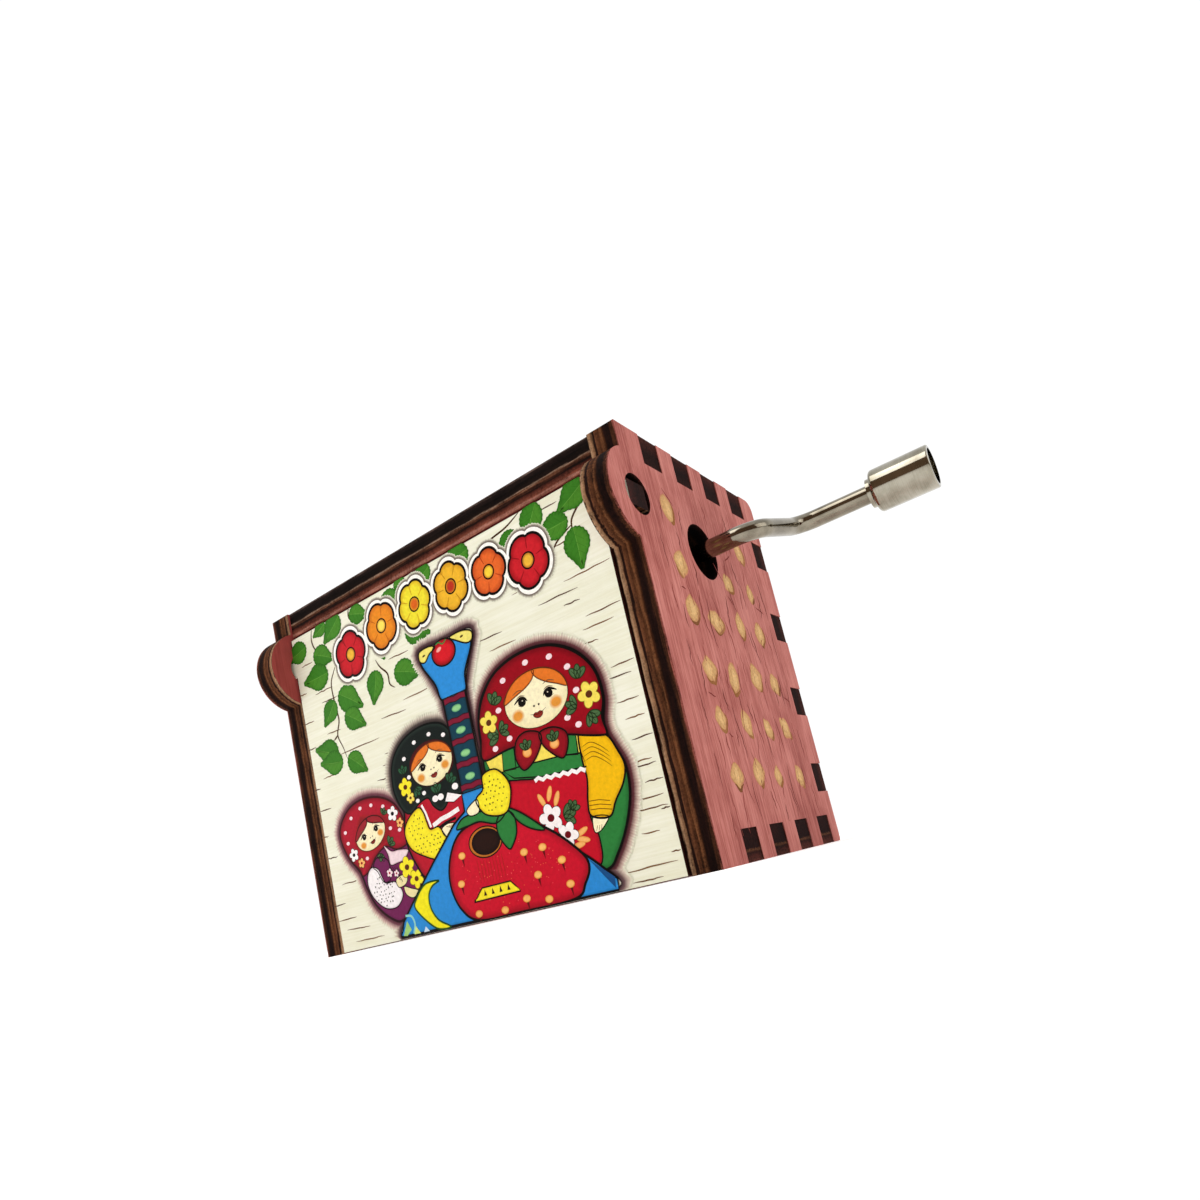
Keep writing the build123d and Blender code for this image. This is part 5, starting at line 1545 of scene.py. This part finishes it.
            art.oval((x, z), 0.6, 0.46, "F4BC6A", 0, None, rim="DE8A34", steps=18)
        # Leaf collar.
        art.level = 35.0
        for leaf in ("30.0 12.1, 31.6 13.3, 35.4 13.3, 38.4 12.5, 36.7 11.4, 34.0 12.2, 32.0 12.1",
                     "36.8 11.6, 38.2 12.6, 39.6 11.8, 39.6 9.8, 38.6 8.3, 37.8 8.0, 36.7 9.8", "39.0 12.7, "
                                                                                                "41.0 11.6, "
                                                                                                "43.8 9.1, "
                                                                                                "42.0 9.5, "
                                                                                                "40.2 10.8"):
            art.shape(leaf, Shade.GREEN, line, 0.2, rim=Shade.GREEN_DEEP, rim_mm=0.3)
        # The big doll's near arm lies over the neck.
        art.level = 36.0
        art.shape("36.0 17.6, 38.0 17.9, 39.3 16.9, 40.0 15.4, 39.7 13.8, 38.8 12.4, 37.2 12.2, 35.2 12.9, "
                  "34.2 14.4, 34.4 15.2, 35.6 15.9", Shade.YELLOW, line, 0.22, rim="D8B41A", rim_mm=0.5)
        art.shape("34.4 14.9, 33.4 14.7, 32.3 14.0, 32.8 13.2, 34.3 13.4", Shade.SKIN, line, 0.16)
        art.level = 37.0
        art.flecked((34.7, 12.6), (0.72, 0.66), 9,
                     lambda x, z: (x - 37.2) ** 2 / 5.6 + (z - 14.9) ** 2 / 6.6 < 0.8, "54400E", 5)
        self.place(art)

    def build(self) -> None:
        """Builds the whole picture."""
        self.bark()
        self.twigs_and_leaves()
        self.garland()
        self.halos()
        self.small_doll()
        self.middle_doll()
        self.big_doll()
        self.instrument()


# ------------------------------------------------------------------------------------ side marks
@dataclass
class SideMarks:
    """Worn almond marks with painted edge shadows, and fine engraved cracks, on a side panel's outer face.

    Drawing places are millimetres back from the panel's front edge and up from the floor.

    Attributes:
        body: The body that the marks ride on.
        face_x: Where the panel's outer face lies, in metres.
        front_y: Where the drawing starts, in metres.
        outward: 1 where the face looks right, -1 where it looks left.
        ink: The marks' finish.
        name: The start of the pieces' names.
        crank_hole: The middle of the crank's hole, where the panel has one.
        hole_clear_mm: How far the cracks stay from its middle.
        MARKS: Each mark's middle, half its width and height, and its turn in degrees.
        CRACK_ROWS: Where each row of upright cracks runs, and how far it sways.
        SHORT_CRACKS: Where each short crack starts, its length and its slope.
    """

    body: str
    face_x: float
    front_y: float
    outward: float
    ink: bpy.types.Material
    name: str
    crank_hole: Point | None = None
    hole_clear_mm: float = 4.2

    MARKS: ClassVar[list[tuple[float, ...]]] = [(8.3, 42.5, 1.45, 1.7, 10), (27.3, 41.1, 1.3, 1.5, 30),
                                                (8.3, 35.5, 1.6, 1.5, -10), (20.8, 35.3, 1.4, 1.25, 40),
                                                (27.5, 35.0, 1.05, 1.2, 0), (8.2, 29.8, 1.55, 1.6, 0),
                                                (14.0, 29.1, 1.95, 1.25, -5), (21.3, 29.5, 1.35, 1.6, 0),
                                                (27.2, 29.1, 1.4, 1.5, 0), (8.8, 22.5, 1.7, 1.4, 10),
                                                (14.9, 21.8, 1.35, 1.9, -15), (22.0, 22.5, 1.85, 1.6, 15),
                                                (27.7, 22.1, 1.5, 1.35, 30), (8.4, 16.5, 1.3, 1.4, 0),
                                                (15.3, 16.1, 1.35, 1.5, 20), (21.5, 15.6, 1.2, 1.35, 30),
                                                (27.4, 16.0, 1.45, 1.5, 45), (8.8, 9.8, 1.6, 1.4, 0),
                                                (15.0, 10.0, 1.6, 1.5, 0), (20.8, 9.5, 1.1, 1.25, 0),
                                                (28.0, 9.4, 1.35, 1.35, 20)]
    CRACK_ROWS: ClassVar[list[Point]] = [
        (6.3, 0.3), (11.2, 0.5), (12.6, 0.35), (16.9, 0.6), (18.4, 0.4), (23.6, 0.55), (24.6, 0.35),
        (29.8, 0.4), (4.6, 0.15), (31.6, 0.2), (8.8, 0.4), (14.6, 0.5), (20.9, 0.45), (26.9, 0.5)]
    SHORT_CRACKS: ClassVar[list[tuple[float, ...]]] = [
        (6.8, 19.6, 1.7, -0.3), (28.2, 33.2, 2.4, -0.25), (29.8, 20.4, 1.8, -0.3), (6.8, 32.4, 1.0, -0.2),
        (17.6, 37.6, 1.6, -1.4), (21.6, 38.6, 2.2, 0.6), (9.6, 14.8, 0.8, -0.6), (8.0, 45.2, 2.0, -0.9),
        (19.6, 33.4, 1.2, -0.9)]

    def sheet(self, name: str, level: float) -> Sheet:
        """Starts a stack of shapes on the panel's outer face.

        Args:
            name: The piece's name.
            level: How many layers above the face it starts.

        Returns:
            The empty stack.
        """
        origin = Vector((self.face_x, self.front_y, 0.0))
        return Sheet(name, origin, Vector((0, 1, 0)), Vector((0, 0, 1)), Vector((self.outward, 0, 0)), level)

    def mark(self, art: Sheet, rng: random.Random, centre: Point, half: Point, tilt: float) -> None:
        """One worn mark: a rough almond in three tones, plain strokes in it and a painted shadow on its edge.

        Args:
            art: The stack to draw on.
            rng: The chance that shapes it.
            centre: Its middle.
            half: Half its width and half its height.
            tilt: Degrees anticlockwise.
        """
        y, z = centre
        ry, rz = half
        corners = []
        for i in range(14):
            angle = FULL_TURN * i / 14
            rough = 1.0 + rng.uniform(-0.1, 0.1)
            along = math.sin(angle)
            across = ry * 1.1 * rough * math.cos(angle) * (1.0 - 0.45 * along * along)
            corners.append(turned(centre, across, rz * 1.22 * rough * along, tilt))
        loop = smooth_loop(corners, 2)

        def shrunk(share: float, dy: float, dz: float) -> list[Point]:
            """The mark's outline drawn in towards its middle."""
            return [(y + dy + (p[0] - y) * share, z + dz + (p[1] - z) * share) for p in loop]

        art.level = 0.4
        art.area(loop, "B48258", "AE6A5C", 0.18)
        art.level = 1.0
        art.area(shrunk(0.86, -0.05, 0.04), "BE9664", "B4885A", 0.22)
        art.level = 1.6
        art.area(shrunk(0.55, rng.uniform(-0.3, 0.1), rng.uniform(-0.2, 0.3)), "CCA672", "BE9664", 0.32)
        art.level = 2.2
        for share in rng.choice(((-0.35,), (0.3,), (-0.4, 0.35))):
            foot = (y + share * ry, z - rng.uniform(0.1, 0.5) * rz)
            tip = (foot[0] + 0.1, foot[1] + 0.8 * rz)
            art.line([foot, tip], rng.uniform(0.14, 0.22), "AC8050", taper=True)
        # A painted shadow, as of an engraved pocket's rim, hugs part of the mark's far lower side.
        art.level = 3.0
        for _ in range(rng.choice((1, 2))):
            first = int(len(loop) * rng.uniform(0.58, 0.8))
            span = int(len(loop) * rng.uniform(0.22, 0.42))
            grow = rng.uniform(0.9, 1.06)
            path = [loop[(first + k) % len(loop)] for k in range(span)]
            art.line([(y + (p[0] - y) * grow, z + (p[1] - z) * grow) for p in path],
                     rng.uniform(0.3, 0.52), rng.choice(("8A5A34", "966640", "764A2C")), taper=True)

    def crack_row(self, art: Sheet, rng: random.Random, start: float, sway: float) -> None:
        """A row of upright cracks, one above the other, that leaves the crank's hole clear.

        Args:
            art: The stack to draw on.
            rng: The chance that shapes them.
            start: How far back the row lies.
            sway: How far it sways.
        """
        z = rng.uniform(2.0, 7.0)
        while z < 46.0:
            length = rng.uniform(2.0, 6.5)
            path = [(start + sway * math.sin(0.62 * (z + length * k / 8) + start) + rng.uniform(-0.13, 0.13),
                     z + length * k / 8) for k in range(9)]
            hole = self.crank_hole
            clear = all(math.dist(p, hole) > self.hole_clear_mm for p in path) if hole else True
            if clear and max(p[1] for p in path) < 46.9:
                tone = rng.choice(("74352F", "843F39", "602B26"))
                art.curve(path, rng.uniform(0.12, 0.24), tone, 3, taper=True)
            z += length + rng.uniform(0.4, 3.4)

    def build(self) -> None:
        """Builds the marks and the cracks."""
        rng = random.Random(21 if self.outward > 0 else 22)
        marks = self.sheet(self.name + "_worn_marks_and_painted_shadows", 0.4)
        cracks = self.sheet(self.name + "_engraved_cracks", 1.2)
        for y, z, ry, rz, tilt in self.MARKS:
            self.mark(marks, rng, (y, z), (ry, rz), tilt)
        for start, sway in self.CRACK_ROWS:
            self.crack_row(cracks, rng, start, sway)
        for y, z, length, slope in self.SHORT_CRACKS:
            path = [(y + length * k / 5, z + slope * length * k / 5 + rng.uniform(-0.06, 0.06))
                    for k in range(6)]
            cracks.line(path, 0.2, "6E2E2A", taper=True)
        marks.build(self.ink, self.body, "painted_ply")
        cracks.build(self.ink, self.body, "painted_ply")


# ------------------------------------------------------------------------------------ assemblies
@dataclass
class Case:
    """The plywood case and its lid.

    Attributes:
        crank_bore: Y, Z and radius in metres of the bore that the crank runs through.
        hinge_bore: The same of the bore in the ear beside the lid's tab.
        crank_hole: The crank bore's middle, back from the panel's front edge and up, in millimetres.
    """

    crank_bore: tuple[float, float, float] = (-3.1 * MM, 38.6 * MM, 3.7 * MM)
    hinge_bore: tuple[float, float, float] = (-16.95 * MM, 42.55 * MM, 1.2 * MM)
    crank_hole: Point = (15.4, 38.6)

    def panels(self) -> None:
        """Dresses the six panels."""
        left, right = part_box("left_side_panel"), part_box("right_side_panel")
        top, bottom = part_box("top_panel"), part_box("bottom_panel")
        rear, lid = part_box("rear_panel"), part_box("picture_lid")
        ply = right[1][0] - right[0][0]
        finishes = {
            "right_side_panel": PaintedPly("birch_ply_painted_right", Axis.X, right[1][0], right[0][0],
                                           Axis.Z, shaded_bores=(self.crank_bore, self.hinge_bore)),
            "left_side_panel": PaintedPly("birch_ply_painted_left", Axis.X, left[0][0], left[1][0], Axis.Z),
            "top_panel": PaintedPly("birch_ply_painted_top", Axis.Z, top[1][2], top[0][2], Axis.X,
                                    edge=TOP_EDGE),
            "bottom_panel": PaintedPly("birch_ply_painted_bottom", Axis.Z, bottom[0][2], bottom[1][2], Axis.X,
                                       edge=BOTTOM_EDGE),
            "rear_panel": PaintedPly("birch_ply_painted_rear", Axis.Y, rear[1][1], rear[1][1] - ply, Axis.X),
            "picture_lid": PaintedPly("birch_ply_printed_lid", Axis.Y, lid[0][1], lid[1][1], Axis.X,
                                      face=Shade.PAPER, face_dark="E6E6CE", face_light="F0F1E0",
                                      back="B98F5E",
                                      pores=0.04, fleck="F0F1E0", roughness=0.5)}
        for node, finish in finishes.items():
            dress(node, finish.build())
            LOG.info("%s: %s", node, finish.name)

    def build(self) -> None:
        """Dresses the panels, prints the lid and marks the sides."""
        self.panels()
        left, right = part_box("left_side_panel"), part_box("right_side_panel")
        LidPicture(left[0][0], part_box("picture_lid")[0][1], Ink("screen_print_varnished").build()).build()
        # The side marks' ink also carries the painted shadows at their edges; the cracks share it.
        mark_and_shadow_ink = Ink("worn_birch_scorch_and_painted_shadow", 0.7, 0.22, 0.35).build()
        # The side panels reach as far forward as back.
        front_y = -right[1][1]
        SideMarks("case", right[1][0], front_y, 1.0, mark_and_shadow_ink, "right_side", self.crank_hole).build()
        SideMarks("case", left[0][0], front_y, -1.0, mark_and_shadow_ink, "left_side").build()


@dataclass
class Movement:
    """The comb-and-drum movement inside the case.

    Attributes:
        finishes: Each metal piece's finish.
    """

    finishes: dict[str, Metal] = field(default_factory=lambda: {
        "movement_frame": ZINC_CASTING, "worm_bracket": STAMPED_STEEL, "bracket_screws": PIN_STEEL,
        "movement_screws": TURNED_NICKEL, "comb": SPRING_STEEL, "comb_screws": PIN_STEEL,
        "comb_weights": LEAD, "drum_tube": BRASS, "drum_end_caps": BRASS, "drum_pins": PIN_STEEL,
        "drum_arbor": PIN_STEEL, "arbor_clips": STAMPED_STEEL, "worm": BRASS, "thrust_washers": BRASS,
        "crank_clip": STAMPED_STEEL})

    def build(self) -> None:
        """Dresses every piece of the movement."""
        dress_all(self.finishes)
        dress("worm_wheel", MouldedNylon().build())


@dataclass
class Crank:
    """The bent wire crank and its turning sleeve.

    Attributes:
        finishes: Each piece's finish.
    """

    finishes: dict[str, Metal] = field(default_factory=lambda: {
        "crank_rod": NICKEL_WIRE_SHADED, "knob_sleeve": NICKEL_SLEEVE_SHADED, "knob_washer": NICKEL_SLEEVE_SHADED,
        "knob_rivet": NICKEL_SLEEVE_SHADED})

    def build(self) -> None:
        """Dresses the crank's pieces."""
        dress_all(self.finishes)


# ------------------------------------------------------------------------------------ studio
@dataclass(frozen=True)
class SoftLight:
    """A square soft light that faces the case.

    Attributes:
        name: The light's name.
        place: Where it stands, in metres.
        size: Its side, in metres.
        watts: Its power.
    """

    name: str
    place: tuple[float, float, float]
    size: float
    watts: float

    def build(self, aim: tuple[float, float, float]) -> None:
        """Adds the light.

        Args:
            aim: The place it faces, in metres.
        """
        data = bpy.data.lights.new(self.name, "AREA")
        data.size = self.size
        data.energy = self.watts
        thing = bpy.data.objects.new(self.name, data)
        thing.location = self.place
        thing.rotation_euler = (Vector(aim) - Vector(self.place)).to_track_quat("-Z", "Y").to_euler()
        bpy.context.collection.objects.link(thing)


@dataclass(frozen=True)
class Studio:
    """Pale floor, soft light all round and the camera.

    Attributes:
        camera_mm: Where the camera stands.
        right: The camera's right.
        up: The camera's up.
        forward: The way it looks.
        sensor_mm: The width of its sensor.
        lens_mm: Its focal length.
        shift: Its lens shift, as shares of the frame.
        sees_m: The nearest and farthest it sees.
        floor_m: The side of the table.
        floor_gap_mm: How far the table lies under the case.
        table_glow: Strength of the light from within the table.
        table_fade_m: Y from where the glow starts to fade to where it has faded.
        room_light: Strength of the room's light.
        dim_side: The way from the case to the room's dim side.
        dim_width: Cosines between which that side starts and is full.
        dim_height: Heights on the room's sphere between which it ends.
        aim: The place that the lights face, in metres.
        lights: The lights.
    """

    camera_mm: tuple[float, float, float] = (71.6, -96.14, 0.97)
    right: tuple[float, float, float] = (0.80082, 0.55663, -0.22102)
    up: tuple[float, float, float] = (0.27250, -0.01002, 0.96210)
    forward: tuple[float, float, float] = (-0.53332, 0.83070, 0.15970)
    sensor_mm: float = 36.0
    lens_mm: float = 24.959
    shift: Point = (-0.00493, 0.12387)
    sees_m: Point = (0.002, 20.0)
    floor_m: float = 3.0
    floor_gap_mm: float = 0.02
    table_glow: float = 0.4
    table_fade_m: Point = (-0.11, -0.5)
    room_light: float = 1.05
    dim_side: tuple[float, float, float] = (0.2, -0.98, 0.0)
    dim_width: Point = (0.2, 0.4)
    dim_height: Point = (0.72, 0.86)
    aim: tuple[float, float, float] = (0, 0, 0.025)
    lights: tuple[SoftLight, ...] = (
        SoftLight("key_softbox", (-0.16, -0.36, 0.66), 0.42, 1.6),
        SoftLight("right_fill", (0.6, -0.02, 0.3), 0.4, 0.85),
        SoftLight("left_fill", (-0.25, -0.2, 0.07), 0.2, 0.2))

    def camera(self) -> None:
        """Sets the camera low in front of the right corner, tilted on its side a little."""
        data = bpy.data.cameras.new("camera")
        data.sensor_width = self.sensor_mm
        data.lens = self.lens_mm
        data.shift_x, data.shift_y = self.shift
        data.clip_start, data.clip_end = self.sees_m
        thing = bpy.data.objects.new("camera", data)
        bpy.context.collection.objects.link(thing)
        turn = Matrix((self.right, self.up, tuple(-v for v in self.forward))).transposed()
        thing.matrix_world = Matrix.Translation(Vector(self.camera_mm) * MM) @ turn.to_4x4()
        bpy.context.scene.camera = thing

    def floor(self) -> None:
        """A wide table of backlit opal acrylic, which shows as plain white and lifts the shadows."""
        material, tree, shader = start_material("studio_table_opal_acrylic")
        place = add(tree, "TexCoord", out="Object")
        noise = add(tree, "TexNoise", {"Vector": place, "Scale": 40.0, "Detail": 3.0}, "Fac")
        colour = add(tree, "ValToRGB", {0: noise}, stops=((0.3, "F4F4F4"), (0.7, "FAFAFA")))
        away = add(tree, "SeparateXYZ", {0: place}, Axis.Y.value)
        dim = add(tree, "MapRange", {0: away, 1: self.table_fade_m[0], 2: self.table_fade_m[1]})
        glow = add(tree, "ValToRGB", {0: dim}, stops=((0.0, "F8F8F8"), (1.0, "6A6058")))
        feed(tree, shader, {"Base Color": colour, "Emission Color": glow, "Roughness": 0.9,
                            "Emission Strength": self.table_glow, "Specular IOR Level": 0.1})
        half = self.floor_m / 2
        mesh = bpy.data.meshes.new("floor")
        corners = [(-half, -half, 0), (half, -half, 0), (half, half, 0), (-half, half, 0)]
        mesh.from_pydata(corners, [], [(0, 1, 2, 3)])
        mesh.materials.append(material)
        piece = bpy.data.objects.new("floor", mesh)
        piece.location.z = -self.floor_gap_mm * MM
        bpy.context.collection.objects.link(piece)

    def world(self) -> None:
        """A white room, plain to the camera, with a dim brown side that the metal mirrors."""
        world = bpy.data.worlds.new("studio_room")
        world.use_nodes = True
        tree = world.node_tree
        tree.nodes.clear()
        direction = add(tree, "TexCoord", out="Generated")
        height = add(tree, "SeparateXYZ", {0: direction}, Axis.Z.value)
        facing = add(tree, "VectorMath", {0: direction, 1: self.dim_side}, "Value", operation="DOT_PRODUCT")
        near = add(tree, "MapRange", {0: facing, 1: self.dim_width[0], 2: self.dim_width[1], 3: 0.0, 4: 1.0})
        low = add(tree, "MapRange", {0: height, 1: self.dim_height[0], 2: self.dim_height[1], 3: 1.0, 4: 0.0})
        dim = add(tree, "Math", {0: near, 1: low}, operation="MULTIPLY")
        room = add(tree, "ValToRGB", {0: dim}, stops=((0.0, "FFFFFF"), (0.5, "B4A48E"), (1.0, "7C6450")))
        seen = add(tree, "LightPath", out="Is Camera Ray")
        colour = add(tree, "Mix", {0: seen, 6: room, 7: (1.0, 1.0, 1.0, 1.0)}, 2, data_type="RGBA")
        shader = add(tree, "Background", {"Color": colour, "Strength": self.room_light})
        add(tree, "OutputWorld", {"Surface": shader})
        bpy.context.scene.world = world

    def build(self) -> None:
        """Builds the studio."""
        self.world()
        self.floor()
        for light in self.lights:
            light.build(self.aim)
        self.camera()
        LOG.info("studio set")


def main() -> None:
    """Builds the case, the movement, the crank and the studio."""
    logging.basicConfig(level=logging.INFO, format="%(name)s %(message)s")
    for part in (Case(), Movement(), Crank(), Studio()):
        part.build()
        LOG.info("%s built", type(part).__name__)
    scene = bpy.context.scene
    scene.view_settings.view_transform = "Standard"


if __name__ == "__main__":
    main()
